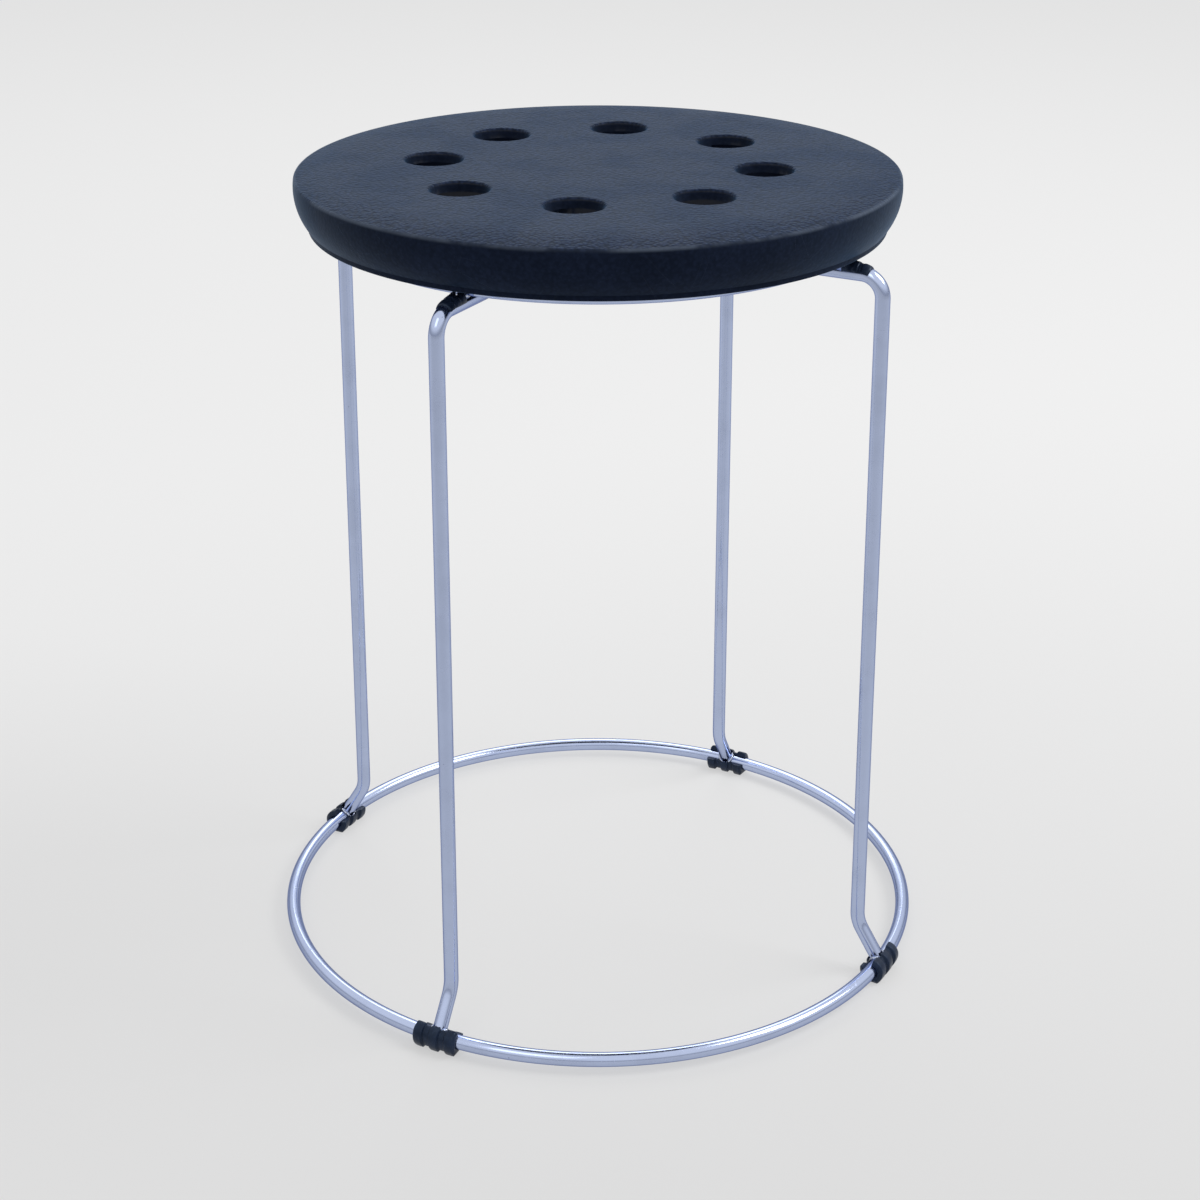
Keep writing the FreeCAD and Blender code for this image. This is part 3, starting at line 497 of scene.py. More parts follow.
class Effects:
    """Effects that several finishes share, each a node group that is built once."""

    @staticmethod
    def group(name: str, output: str, **inputs: float) -> tuple[NodeBoard, dict[str, bpy.types.NodeSocket]]:
        """Start a group with number inputs and one number output.

        Args:
            name: Name of the group.
            output: Name of its output.
            inputs: Names and usual values of its inputs.

        Returns:
            The group's board, and its inputs as sockets by name, with the output's socket under "out".
        """
        tree = bpy.data.node_groups.new(name, "ShaderNodeTree")
        for label, value in inputs.items():
            socket = tree.interface.new_socket(label.title(), in_out="INPUT", socket_type="NodeSocketFloat")
            socket.default_value = value
        tree.interface.new_socket(output, in_out="OUTPUT", socket_type="NodeSocketFloat")
        source, target = tree.nodes.new("NodeGroupInput"), tree.nodes.new("NodeGroupOutput")
        sockets = {label: source.outputs[index] for index, label in enumerate(inputs)}
        sockets["out"] = target.inputs[0]
        return NodeBoard(tree), sockets

    @staticmethod
    def share(board: NodeBoard, ends: dict[str, bpy.types.NodeSocket], value: object) -> bpy.types.NodeSocket:
        """Let a value of a group count smoothly from 0 at its low input to 1 at its high input.

        Args:
            board: The group's board.
            ends: Its sockets.
            value: Number or socket that leads.

        Returns:
            The share.
        """
        span = board.math("SUBTRACT", ends["high"], ends["low"])
        return board.between(board.math("DIVIDE", board.math("SUBTRACT", value, ends["low"]), span), 0.0, 1.0)

    @cached_property
    def pebbles(self) -> bpy.types.NodeTree:
        """Height of a fine pebbled mould grain. Size is the width of a pebble.

        Returns:
            The node group.
        """
        board, ends = self.group("pebble_grain", "Height", size=0.9 * MM, unevenness=0.35)
        place = board.place()
        scale = board.math("DIVIDE", 1.0, ends["size"])
        shape = {"Vector": place, "Scale": scale, "Smoothness": 0.6}
        pebble = board.add("TexVoronoi", shape, feature="SMOOTH_F1")
        fine = board.add("TexNoise", {"Vector": place, "Scale": board.times(scale, 0.7), "Detail": 3.0})
        uneven = board.times(fine.outputs[0], ends["unevenness"])
        height = board.math("SUBTRACT", uneven, pebble.outputs["Distance"])
        board.feed(ends["out"], board.math("ADD", height, 1.0))
        return board.tree

    @cached_property
    def clouds(self) -> bpy.types.NodeTree:
        """Soft uneven patches, as of handling or an uneven film. Size is a patch's width.

        Returns:
            The node group. Its mask is 0 below low and 1 above high.
        """
        board, ends = self.group("soft_patches", "Mask", size=30 * MM, low=0.4, high=0.65)
        scale = board.math("DIVIDE", 1.0, ends["size"])
        shape = {"Vector": board.place(), "Scale": scale, "Detail": 5.0, "Roughness": 0.55}
        cloud = board.add("TexNoise", shape)
        board.feed(ends["out"], self.share(board, ends, cloud.outputs[0]))
        return board.tree

    @cached_property
    def hairlines(self) -> bpy.types.NodeTree:
        """Mask of thin crossing scratches. Size is their spacing and width their share of it.

        Returns:
            The node group.
        """
        board, ends = self.group("hairlines", "Mask", size=25 * MM, width=0.012, amount=0.5)
        place = board.place()
        scale = board.math("DIVIDE", 1.0, ends["size"])
        lines = []
        for turn, stretch in ((0.4, 0.22), (1.7, 0.3)):
            lie = {"Vector": place, "Rotation": (0.3, 0.2, turn), "Scale": (1, stretch, 1)}
            shape = {"Vector": board.add("Mapping", lie).outputs[0], "Scale": scale}
            cells = board.add("TexVoronoi", shape, feature="DISTANCE_TO_EDGE")
            lines.append(board.math("LESS_THAN", cells.outputs["Distance"], ends["width"]))
        patchy = board.add("TexNoise", {"Vector": place, "Scale": scale, "Detail": 2.0})
        kept = board.between(patchy.outputs[0], 0.5, 0.62)
        board.feed(ends["out"], board.times(board.times(board.most(*lines), kept), ends["amount"]))
        return board.tree

    @cached_property
    def specks(self) -> bpy.types.NodeTree:
        """Mask of scattered round specks, as of dust or pits. Size is their spacing, radius their share.

        Returns:
            The node group.
        """
        board, ends = self.group("specks", "Mask", size=6 * MM, radius=0.09, amount=1.0)
        scale = board.math("DIVIDE", 1.0, ends["size"])
        cells = board.add("TexVoronoi", {"Vector": board.place(), "Scale": scale}, feature="F1")
        pick = board.add("SeparateColor", {"Color": cells.outputs["Color"]}).outputs[0]
        radius = board.times(ends["radius"], board.math("POWER", pick, 2.0))
        spot = board.math("LESS_THAN", cells.outputs["Distance"], radius)
        board.feed(ends["out"], board.times(spot, ends["amount"]))
        return board.tree

    @cached_property
    def edge_wear(self) -> bpy.types.NodeTree:
        """Mask of convex edges that are rubbed, broken up by patches. Low and high bound the sharpness.

        Returns:
            The node group.
        """
        board, ends = self.group("edge_wear", "Mask", low=0.52, high=0.62, amount=1.0)
        sharp = board.add("NewGeometry").outputs["Pointiness"]
        patches = board.add("TexNoise", {"Vector": board.place(), "Scale": 220.0, "Detail": 4.0})
        kept = board.between(patches.outputs[0], 0.38, 0.6)
        rubbed = board.times(self.share(board, ends, sharp), kept)
        board.feed(ends["out"], board.times(rubbed, ends["amount"]))
        return board.tree

    @cached_property
    def painted_hollow_shade(self) -> bpy.types.NodeTree:
        """Mask of hollows, which a material darkens as painted shade. Low and high bound the sharpness.

        Returns:
            The node group.
        """
        board, ends = self.group("painted_hollow_shade", "Mask", low=0.42, high=0.495, amount=1.0)
        sharp = board.add("NewGeometry").outputs["Pointiness"]
        hollow = board.math("SUBTRACT", 1.0, self.share(board, ends, sharp))
        board.feed(ends["out"], board.times(hollow, ends["amount"]))
        return board.tree

    @cached_property
    def ring_line(self) -> bpy.types.NodeTree:
        """Mask of a line that runs round the upright axis, such as a crease. Width is its half width.

        Returns:
            The node group.
        """
        board, ends = self.group("ring_line", "Mask", radius=0.16, height=0.45, width=2 * MM)
        place = board.place()
        aside = board.math("SUBTRACT", board.reach(place), ends["radius"])
        above = board.math("SUBTRACT", board.upwards(place), ends["height"])
        square = board.math("ADD", board.times(aside, aside), board.times(above, above))
        near = board.math("SUBTRACT", 1.0, board.math("DIVIDE", board.math("SQRT", square), ends["width"]))
        board.feed(ends["out"], board.between(near, 0.0, 1.0))
        return board.tree


@dataclass(frozen=True, kw_only=True)
class Finish:
    """What every finish has: a name, a base colour, a roughness and the shared effects."""

    name: str
    colour: Colour
    roughness: float
    effects: Effects

    def start(self) -> tuple[NodeBoard, bpy.types.Node]:
        """Begin a material.

        Returns:
            Its board and its Principled shader, joined to the output.
        """
        material = bpy.data.materials.new(self.name)
        material.use_nodes = True
        material.diffuse_color = (*self.colour, 1)
        return NodeBoard(material.node_tree), material.node_tree.nodes["Principled BSDF"]

    def shade(self, gain: float) -> Colour:
        """The base colour, lighter or darker by a factor."""
        return tuple(gain * part for part in self.colour)

    def end(
        self, board: NodeBoard, shader: bpy.types.Node, varied: dict[str, bpy.types.NodeSocket],
        relief: dict[str, object], plain: dict[str, object],
    ) -> bpy.types.Material:
        """End a material.

        Args:
            board: Its board.
            shader: Its shader.
            varied: Sockets for the shader's inputs that change over the surface, by name.
            relief: The bump's inputs, by name.
            plain: Constants for the shader's other inputs, by name.

        Returns:
            The material.
        """
        for name, socket in varied.items():
            board.feed(shader.inputs[name], socket)
        board.feed(shader.inputs["Normal"], board.add("Bump", relief).outputs[0])
        for name, value in plain.items():
            shader.inputs[name].default_value = value
        return bpy.data.materials[self.name]


@dataclass(frozen=True, kw_only=True)
class SeatPlastic(Finish):
    """Dark moulded plastic with a fine pebbled grain and a few scuffs, with painted highlights on the pebble
    tops and along its crease.
    """

    name: str = "seat_moulded_plastic"
    colour: Colour = (0.0050, 0.0075, 0.0165)
    scuffed: Colour = (0.10, 0.12, 0.15)
    # Colour of the painted highlight along the crease.
    painted_crease_highlight: Colour = (0.085, 0.105, 0.145)
    patch_gain: float = 1.55
    fleck_gain: float = 0.7
    # Gain of the painted highlight on the pebble tops.
    crest_highlight_gain: float = 3.9
    fleck_share: float = 0.35
    top_fleck_share: float = 0.25
    scuff_share: float = 0.3
    faded_crease_highlight: float = 0.15
    grain: float = 1.9 * MM
    grain_depth: float = 0.42 * MM
    line_depth: float = 0.6
    smooth_share: float = 0.18
    roughness: float = 0.5
    patch_roughness: float = 0.07
    scuff_roughness: float = 0.1
    specular: float = 0.05
    specular_tint: Colour = (0.4, 0.6, 1.0)
    sheen: float = 0.19
    sheen_tint: Colour = (0.27, 0.56, 1.0)
    sheen_roughness: float = 0.4
    top: float
    crease_radius: float
    crease_height: float
    crease_highlight_width: float = 2.1 * MM
    wall_top: float = 1.1 * MM
    wall_fade: float = 0.5 * MM
    holes_end: float = 115 * MM
    holes_fade: float = 3 * MM
    lip_polish: float = 0.4
    lip_roughness: float = 0.12

    def in_holes(self, board: NodeBoard, place: bpy.types.NodeSocket) -> bpy.types.NodeSocket:
        """Mask of the holes' walls, which are smooth and shiny.

        Args:
            board: The material's board.
            place: The surface's place.

        Returns:
            The mask.
        """
        wall, fade = self.top - self.wall_top, self.wall_fade
        low = board.between(board.upwards(place), wall - fade, wall + fade, 1.0, 0.0)
        end, fade = self.holes_end, self.holes_fade
        return board.times(low, board.between(board.reach(place), end - fade, end + fade, 1.0, 0.0))

    def grained(
        self, board: NodeBoard, place: bpy.types.NodeSocket, walls: bpy.types.NodeSocket
    ) -> bpy.types.NodeSocket:
        """Mask of where the grain is full: on top, down to the crease, but not in the holes.

        Args:
            board: The material's board.
            place: The surface's place.
            walls: Mask of the holes' walls.

        Returns:
            The mask.
        """
        low, high = self.crease_height - 1.2 * MM, self.crease_height + 0.3 * MM
        above = board.between(board.upwards(place), low, high, self.smooth_share, 1.0)
        return board.times(above, board.between(walls, 0.0, 1.0, 1.0, self.smooth_share))

    def build(self) -> bpy.types.Material:
        """Mix the seat's material.

        Returns:
            The material.
        """
        board, shader = self.start()
        effects, place = self.effects, board.place()
        patches = board.effect(effects.clouds, size=45 * MM, low=0.38, high=0.66)
        flecks = board.effect(effects.clouds, size=2.6 * MM, low=0.4, high=0.6)
        lines = board.effect(effects.hairlines, size=38 * MM, width=0.004, amount=0.12)
        dust = board.effect(effects.specks, size=9 * MM, radius=0.05, amount=0.5)
        wear = board.effect(effects.edge_wear, low=0.53, high=0.66, amount=0.5)
        pebbles = board.effect(effects.pebbles, size=self.grain, unevenness=0.7)
        crease = board.effect(
            effects.ring_line, radius=self.crease_radius, height=self.crease_height, width=self.crease_highlight_width
        )
        marks = board.most(board.most(lines, wear), dust)
        walls = self.in_holes(board, place)
        on_top = self.grained(board, place, walls)
        # Painted highlight: the pebble tops on the seat's top are lighter, as if catching the light.
        painted_crest_highlight = board.times(board.between(pebbles, 0.55, 1.25), on_top)
        # Painted highlight along the crease, broken up in patches.
        rubbed = board.times(crease, board.between(patches, 0.0, 1.0, 1.0, self.faded_crease_highlight))
        tone = board.blend(patches, self.colour, self.shade(self.patch_gain))
        tone = board.blend(board.times(flecks, self.fleck_share), tone, self.shade(self.fleck_gain))
        tone = board.blend(board.times(marks, self.scuff_share), tone, self.scuffed)
        tone = board.blend(painted_crest_highlight, tone, self.shade(self.crest_highlight_gain))
        tone = board.blend(board.times(flecks, self.top_fleck_share), tone, self.colour)
        tone = board.blend(rubbed, tone, self.painted_crease_highlight)
        rough = board.between(patches, 0.0, 1.0, self.roughness, self.roughness + self.patch_roughness)
        rough = board.math("ADD", rough, board.times(marks, self.scuff_roughness))
        height = board.math("SUBTRACT", board.times(pebbles, on_top), board.times(lines, self.line_depth))
        return self.end(
            board, shader,
            {"Base Color": tone, "Roughness": rough, "Coat Weight": board.times(walls, self.lip_polish)},
            {"Strength": 1.0, "Distance": self.grain_depth, "Height": height},
            {
                "Specular IOR Level": self.specular,
                "Specular Tint": (*self.specular_tint, 1),
                "Sheen Weight": self.sheen,
                "Sheen Tint": (*self.sheen_tint, 1),
                "Sheen Roughness": self.sheen_roughness,
                "Coat Roughness": self.lip_roughness,
            },
        )


@dataclass(frozen=True, kw_only=True)
class ChromePlate(Finish):
    """Bright chrome on drawn rod: a cool mirror with a thin uneven film, hairlines and a few pits, and a
    painted shade that darkens it towards its outline.
    """

    name: str = "chrome_plate"
    colour: Colour = (0.475, 0.545, 0.745)
    # Colour of the painted shade along the rod's outline.
    painted_edge_shade: Colour = (0.36, 0.42, 0.60)
    edge_tint: Colour = (0.40, 0.44, 0.62)
    pitted: Colour = (0.10, 0.11, 0.16)
    film_gain: float = 0.94
    pit_share: float = 0.7
    roughness: float = 0.12
    film: float = 0.07
    mark_roughness: float = 0.22
    waviness: float = 0.010 * MM
    wave_strength: float = 0.7

    def build(self) -> bpy.types.Material:
        """Mix the rod's material.

        Returns:
            The material.
        """
        board, shader = self.start()
        effects = self.effects
        film = board.effect(effects.clouds, size=22 * MM, low=0.42, high=0.7)
        lines = board.effect(effects.hairlines, size=9 * MM, width=0.01, amount=0.8)
        pits = board.effect(effects.specks, size=7 * MM, radius=0.06, amount=1.0)
        wave = board.effect(effects.clouds, size=7 * MM, low=0.2, high=0.8)
        # Painted shade: the base colour darkens towards the rod's outline, where its surface turns away.
        painted_edge_shade_mask = board.add("LayerWeight", {"Blend": 0.5}).outputs["Facing"]
        tone = board.blend(film, self.colour, self.shade(self.film_gain))
        tone = board.blend(board.times(pits, self.pit_share), tone, self.pitted)
        tone = board.blend(board.between(painted_edge_shade_mask, 0.4, 0.85), tone, self.painted_edge_shade)
        rough = board.between(film, 0.0, 1.0, self.roughness, self.roughness + self.film)
        rough = board.math("ADD", rough, board.times(board.most(lines, pits), self.mark_roughness))
        height = board.math("SUBTRACT", wave, pits)
        return self.end(
            board, shader,
            {"Base Color": tone, "Roughness": rough},
            {"Strength": self.wave_strength, "Distance": self.waviness, "Height": height},
            {"Metallic": 1.0, "Specular Tint": (*self.edge_tint, 1)},
        )


@dataclass(frozen=True, kw_only=True)
class ClipPlastic(Finish):
    """Near-black clip material: satin, slightly grained, greyed where its ribs and sole are rubbed, with
    painted shade in its grooves.
    """

    name: str = "clip_satin_plastic"
    colour: Colour = (0.0075, 0.0130, 0.0290)
    rubbed: Colour = (0.028, 0.040, 0.068)
    # Colour of the painted shade in the grooves.
    painted_groove_shade: Colour = (0.0006, 0.0010, 0.0026)
    patch_gain: float = 1.7
    sole_height: float = 1.1 * MM
    sole_wear: float = 0.8
    roughness: float = 0.31
    patch_roughness: float = 0.1
    mark_roughness: float = 0.2
    grain_depth: float = 0.03 * MM
    grain_strength: float = 0.8
    specular: float = 0.30
    specular_tint: Colour = (0.55, 0.72, 1.0)

    def build(self) -> bpy.types.Material:
        """Mix the clips' material.

        Returns:
            The material.
        """
        board, shader = self.start()
        effects = self.effects
        patches = board.effect(effects.clouds, size=8 * MM, low=0.35, high=0.7)
        wear = board.effect(effects.edge_wear, low=0.515, high=0.6, amount=0.55)
        dust = board.effect(effects.specks, size=2.2 * MM, radius=0.1, amount=0.5)
        hollow = board.effect(effects.painted_hollow_shade, low=0.44, high=0.495, amount=1.0)
        grain = board.effect(effects.pebbles, size=0.45 * MM, unevenness=0.6)
        up = board.upwards(board.place())
        sole = board.between(up, 0.1 * MM, self.sole_height, self.sole_wear, 0.0)
        marks = board.most(board.most(wear, sole), dust)
        tone = board.blend(patches, self.colour, self.shade(self.patch_gain))
        # Painted shade: the hollows between the ribs are darkened towards black.
        tone = board.blend(hollow, board.blend(marks, tone, self.rubbed), self.painted_groove_shade)
        rough = board.between(patches, 0.0, 1.0, self.roughness, self.roughness + self.patch_roughness)
        rough = board.math("ADD", rough, board.times(marks, self.mark_roughness))
        return self.end(
            board, shader,
            {"Base Color": tone, "Roughness": rough},
            {"Strength": self.grain_strength, "Distance": self.grain_depth, "Height": grain},
            {"Specular IOR Level": self.specular, "Specular Tint": (*self.specular_tint, 1)},
        )


@dataclass(frozen=True, kw_only=True)
class WeldBead(Finish):
    """Weld bead under the plate: chrome like the rod's, duller and freckled, stained in patches."""

    name: str = "plated_weld"
    colour: Colour = (0.50, 0.56, 0.69)
    stain: Colour = (0.16, 0.15, 0.17)
    stain_share: float = 0.6
    roughness: float = 0.2
    stained_roughness: float = 0.42
    relief: float = 0.06 * MM
    relief_strength: float = 0.8

    def build(self) -> bpy.types.Material:
        """Mix the beads' material.

        Returns:
            The material.
        """
        board, shader = self.start()
        effects = self.effects
        patches = board.effect(effects.clouds, size=2.4 * MM, low=0.4, high=0.68)
        spatter = board.effect(effects.specks, size=1.1 * MM, radius=0.16, amount=1.0)
        dirt = board.most(board.times(patches, self.stain_share), spatter)
        tone = board.blend(dirt, self.colour, self.stain)
        rough = board.between(dirt, 0.0, 1.0, self.roughness, self.stained_roughness)
        return self.end(
            board, shader,
            {"Base Color": tone, "Roughness": rough},
            {"Strength": self.relief_strength, "Distance": self.relief, "Height": patches},
            {"Metallic": 1.0},
        )


@dataclass(frozen=True, kw_only=True)
class ZincSteel(Finish):
    """Zinc plated steel of the screws and washers: pale, brushed and a little stained."""

    name: str = "zinc_plated_steel"
    colour: Colour = (0.52, 0.54, 0.56)
    stain: Colour = (0.42, 0.37, 0.27)
    rubbed: Colour = (0.68, 0.69, 0.70)
    stain_share: float = 0.5
    roughness: float = 0.3
    stained_roughness: float = 0.45
    line_roughness: float = 0.15
    relief: float = 0.02 * MM
    relief_strength: float = 0.5

    def build(self) -> bpy.types.Material:
        """Mix the fixings' material.

        Returns:
            The material.
        """
        board, shader = self.start()
        effects = self.effects
        patches = board.effect(effects.clouds, size=3.5 * MM, low=0.42, high=0.7)
        lines = board.effect(effects.hairlines, size=1.6 * MM, width=0.03, amount=0.7)
        wear = board.effect(effects.edge_wear, low=0.52, high=0.62, amount=0.8)
        tone = board.blend(board.times(patches, self.stain_share), self.colour, self.stain)
        tone = board.blend(wear, tone, self.rubbed)
        rough = board.between(patches, 0.0, 1.0, self.roughness, self.stained_roughness)
        rough = board.math("ADD", rough, board.times(lines, self.line_roughness))
        return self.end(
            board, shader,
            {"Base Color": tone, "Roughness": rough},
            {"Strength": self.relief_strength, "Distance": self.relief, "Height": lines},
            {"Metallic": 1.0},
        )


@dataclass(frozen=True, kw_only=True)
class Fit:
    """Sizes that more than one sub-assembly needs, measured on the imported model."""

    top: float
    seat_radius: float
    rod: float
    ring: float
    ring_height: float
    thin_rod: float
    upper_ring: float
    upper_height: float
    run_height: float

    @classmethod
    def measured(cls) -> "Fit":
        """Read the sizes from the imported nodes' boxes.

        Returns:
            The sizes.
        """
        seat_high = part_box("seat_shell")[1]
        ring_low, ring_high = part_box("base_ring")
        upper_low, upper_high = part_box("upper_ring")
        leg_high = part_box("leg_back_right")[1]
        rod = round((ring_high.z - ring_low.z) / 2, 4)
        thin_rod = round((upper_high.z - upper_low.z) / 2, 4)
        return cls(
            top=seat_high.z,
            seat_radius=round(seat_high.x, 4),
            rod=rod,
            ring=round(ring_high.x, 4) - rod,
            ring_height=round((ring_high.z + ring_low.z) / 2, 4),
            thin_rod=thin_rod,
            upper_ring=round(upper_high.x, 4) - thin_rod,
            upper_height=round((upper_high.z + upper_low.z) / 2, 4),
            run_height=round(leg_high.z, 4) - rod,
        )


@dataclass
class RodFrame:
    """The two rings, the four legs and the weld beads between them."""

    fit: Fit
    chrome: bpy.types.Material
    bead: bpy.types.Material
    stand_out: float = 3.2 * MM
    lean: float = 3.8 * MM
    kick_height: float = 31 * MM
    shoulder_bend: float = 12 * MM
    kick_bend: float = 20 * MM
    overhang: float = 21 * MM
    end_rounding: float = 0.7 * MM
    sides: int = 40
    bead_radius: float = 0.85 * MM
    bead_off_leg: float = 0.4
    bead_off_ring: float = 0.6
    bead_ripple: float = 0.11 * MM
    bead_ripples: int = 15
    ripple_steps: int = 12
    bead_sides: int = 16
    bead_smooth: float = 60
    upper_bead: Vector = field(default_factory=lambda: Vector((3.9, 3.7, 2.3)) * MM)
    wide_lumps: int = 5
    wide_height: float = 0.045
    wide_start: float = 0.6
    fine_lumps: int = 9
    fine_height: float = 0.03

    @property
    def corners(self) -> list[Vector]:
        """Corners of a leg's centre line in the XZ plane.

        Returns:
            Its inner end, its shoulder, its kick and its foot on the base ring.
        """
        fit = self.fit
        top = fit.seat_radius + self.stand_out
        return [
            Vector((fit.upper_ring - self.overhang, 0, fit.run_height)),
            Vector((top, 0, fit.run_height)),
            Vector((top + self.lean, 0, self.kick_height)),
            Vector((fit.ring, 0, fit.ring_height)),
        ]

    @property
    def kick_axis(self) -> Vector:
        """Direction from the base ring's centre line up along a leg's kick."""
        return (self.corners[2] - self.corners[3]).normalized()

    @property
    def bend_start(self) -> float:
        """Where a leg's run ends and its shoulder bend begins.

        Returns:
            The place along X.
        """
        inner, shoulder, kick, _ = self.corners
        half = (inner - shoulder).angle(kick - shoulder) / 2
        return shoulder.x - self.shoulder_bend / math.tan(half)

    def ring(self, name: str, radius: float, height: float, rod: float, steps: int) -> None:
        """Spin a ring of rod and dress it.

        Args:
            name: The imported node's name.
            radius: Radius of its centre line.
            height: Height of its centre line.
            rod: Radius of the rod.
            steps: Steps of the spin.
        """
        piece = Workpiece()
        piece.circle(rod, self.sides)
        upright = Matrix.Rotation(math.radians(90), 4, "Z")
        piece.place(Matrix.Translation((radius, 0, height)) @ upright)
        piece.spin_all(steps)
        dress(piece.to_object(f"{name}_rod"), self.chrome, Slot.CHROME, name)

    def bend(self, loop: list, piece: Workpiece, corner: int, radius: float, steps: int) -> list:
        """Run a rod straight to a bend and spin it round.

        Args:
            loop: Vertices and edges of the rod's open end.
            piece: The leg's workpiece.
            corner: Number of the corner that is rounded.
            radius: Radius of the bend's centre line.
            steps: Steps of the spin.

        Returns:
            Vertices and edges of the new open end.
        """
        before, here, after = self.corners[corner - 1 : corner + 2]
        back, ahead = (before - here).normalized(), (after - here).normalized()
        half = back.angle(ahead) / 2
        start = here + back * (radius / math.tan(half))
        centre = here + (back + ahead).normalized() * (radius / math.sin(half))
        loop = self.extend(loop, piece, start)
        axis = (-back).cross(ahead).normalized()
        made = bmesh.ops.spin(
            piece.bm, geom=loop, cent=centre, axis=axis, angle=math.pi - 2 * half, steps=steps
        )
        return made["geom_last"]

    @staticmethod
    def extend(loop: list, piece: Workpiece, target: Vector) -> list:
        """Extrude a rod's open end straight on.

        Args:
            loop: Vertices and edges of the rod's open end.
            piece: The leg's workpiece.
            target: Where the middle of the new end lies.

        Returns:
            Vertices and edges of the new open end.
        """
        verts = [item for item in loop if isinstance(item, BMVert)]
        middle = sum((vert.co for vert in verts), Vector()) / len(verts)
        edges = [item for item in loop if isinstance(item, BMEdge)]
        made = bmesh.ops.extrude_edge_only(piece.bm, edges=edges)["geom"]
        fresh = [item for item in made if isinstance(item, BMVert)]
        bmesh.ops.translate(piece.bm, verts=fresh, vec=target - middle)
        return [item for item in made if isinstance(item, (BMVert, BMEdge)) and item not in edges]

    def leg(self, place: LegPlace) -> None:
        """Bend one leg from one length of rod and dress it.

        Args:
            place: The leg's diagonal.
        """
        piece = Workpiece()
        inner, *_, ring = self.corners
        edges = piece.circle(self.fit.rod, self.sides)
        piece.place(Matrix.Translation(inner))
        cap = bmesh.ops.edgeloop_fill(piece.bm, edges=edges)["faces"]
        loop = list({vert for edge in edges for vert in edge.verts}) + edges
        loop = self.bend(loop, piece, 1, self.shoulder_bend, steps=28)
        loop = self.bend(loop, piece, 2, self.kick_bend, steps=14)
        loop = self.extend(loop, piece, ring + self.kick_axis * self.fit.rod / 2)
        bmesh.ops.edgeloop_fill(piece.bm, edges=[item for item in loop if isinstance(item, BMEdge)])
        bmesh.ops.bevel(
            piece.bm, geom=list(cap[0].edges), offset=self.end_rounding, segments=3, profile=0.5,
            affect="EDGES", material=-1,
        )
        piece.place(place.turn)
        name = f"leg_{place.side}"
        dress(piece.to_object(f"{name}_rod"), self.chrome, Slot.CHROME, name)

    def foot_bead(self, place: LegPlace) -> None:
        """Lay the rippled bead round a leg's foot, along the saddle where it meets the base ring.

        Args:
            place: The leg's diagonal.
        """
        rod, axis = self.fit.rod, self.kick_axis
        along = Vector((0, 1, 0))
        across = axis.cross(along)
        off_leg = rod + self.bead_off_leg * self.bead_radius
        off_ring = rod + self.bead_off_ring * self.bead_radius
        centre, count, nudge = self.corners[3], self.ripple_steps * self.bead_ripples, 0.01

        def spot(turn: float) -> Vector:
            """Middle of the bead at a turn round the leg. Returns the point."""
            rise = math.sqrt(off_ring**2 - (off_leg * math.sin(turn)) ** 2)
            return centre + axis * rise + (along * math.cos(turn) + across * math.sin(turn)) * off_leg

        def station(number: int) -> Station:
            """Where the bead's round section stands at one stop of the sweep.

            Args:
                number: Number of the stop.

            Returns:
                The move of a point of the section.
            """
            turn = math.tau * number / count
            middle = spot(turn)
            ahead = (spot(turn + nudge) - spot(turn - nudge)).normalized()
            outwards = (middle - centre).normalized()
            side = ahead.cross(outwards).normalized()
            swell = abs(math.sin(turn * self.bead_ripples / 2))
            girth = (self.bead_radius - self.bead_ripple + 2 * self.bead_ripple * swell) / self.bead_radius
            return lambda p: middle + (outwards * p.y + side * p.z) * girth

        piece = Workpiece()
        loop = piece.circle(self.bead_radius, self.bead_sides)
        piece.sweep(loop, [station(number) for number in range(count)], is_closed=True)
        piece.place(place.turn)
        name = f"foot_weld_{place.side}"
        dress(piece.to_object(f"{name}_bead", self.bead_smooth), self.bead, Slot.CHROME, name)

    def crossing_bead(self, place: LegPlace) -> None:
        """Press the lumpy bead between a leg's run and the upper ring.

        Args:
            place: The leg's diagonal.
        """
        piece = Workpiece()
        bmesh.ops.create_icosphere(piece.bm, subdivisions=4, radius=1.0)
        for vert in piece.bm.verts:
            turn = math.atan2(vert.co.y, vert.co.x)
            wide = self.wide_height * math.sin(self.wide_lumps * turn + self.wide_start)
            fine = self.fine_height * math.cos(self.fine_lumps * turn) * vert.co.z
            vert.co *= 1 + wide + fine
        height = (self.fit.run_height + self.fit.rod + self.fit.upper_height - self.fit.thin_rod) / 2
        size = Matrix.Diagonal((*self.upper_bead, 1))
        piece.place(place.turn @ Matrix.Translation((self.fit.upper_ring, 0, height)) @ size)
        name = f"upper_weld_{place.side}"
        dress(piece.to_object(f"{name}_bead", self.bead_smooth), self.bead, Slot.CHROME, name)

    def build(self) -> None:
        """Make every piece of the frame."""
        fit = self.fit
        self.ring("base_ring", fit.ring, fit.ring_height, fit.rod, steps=288)
        self.ring("upper_ring", fit.upper_ring, fit.upper_height, fit.thin_rod, steps=216)
        for place in LegPlace:
            self.leg(place)
            self.foot_bead(place)
            self.crossing_bead(place)


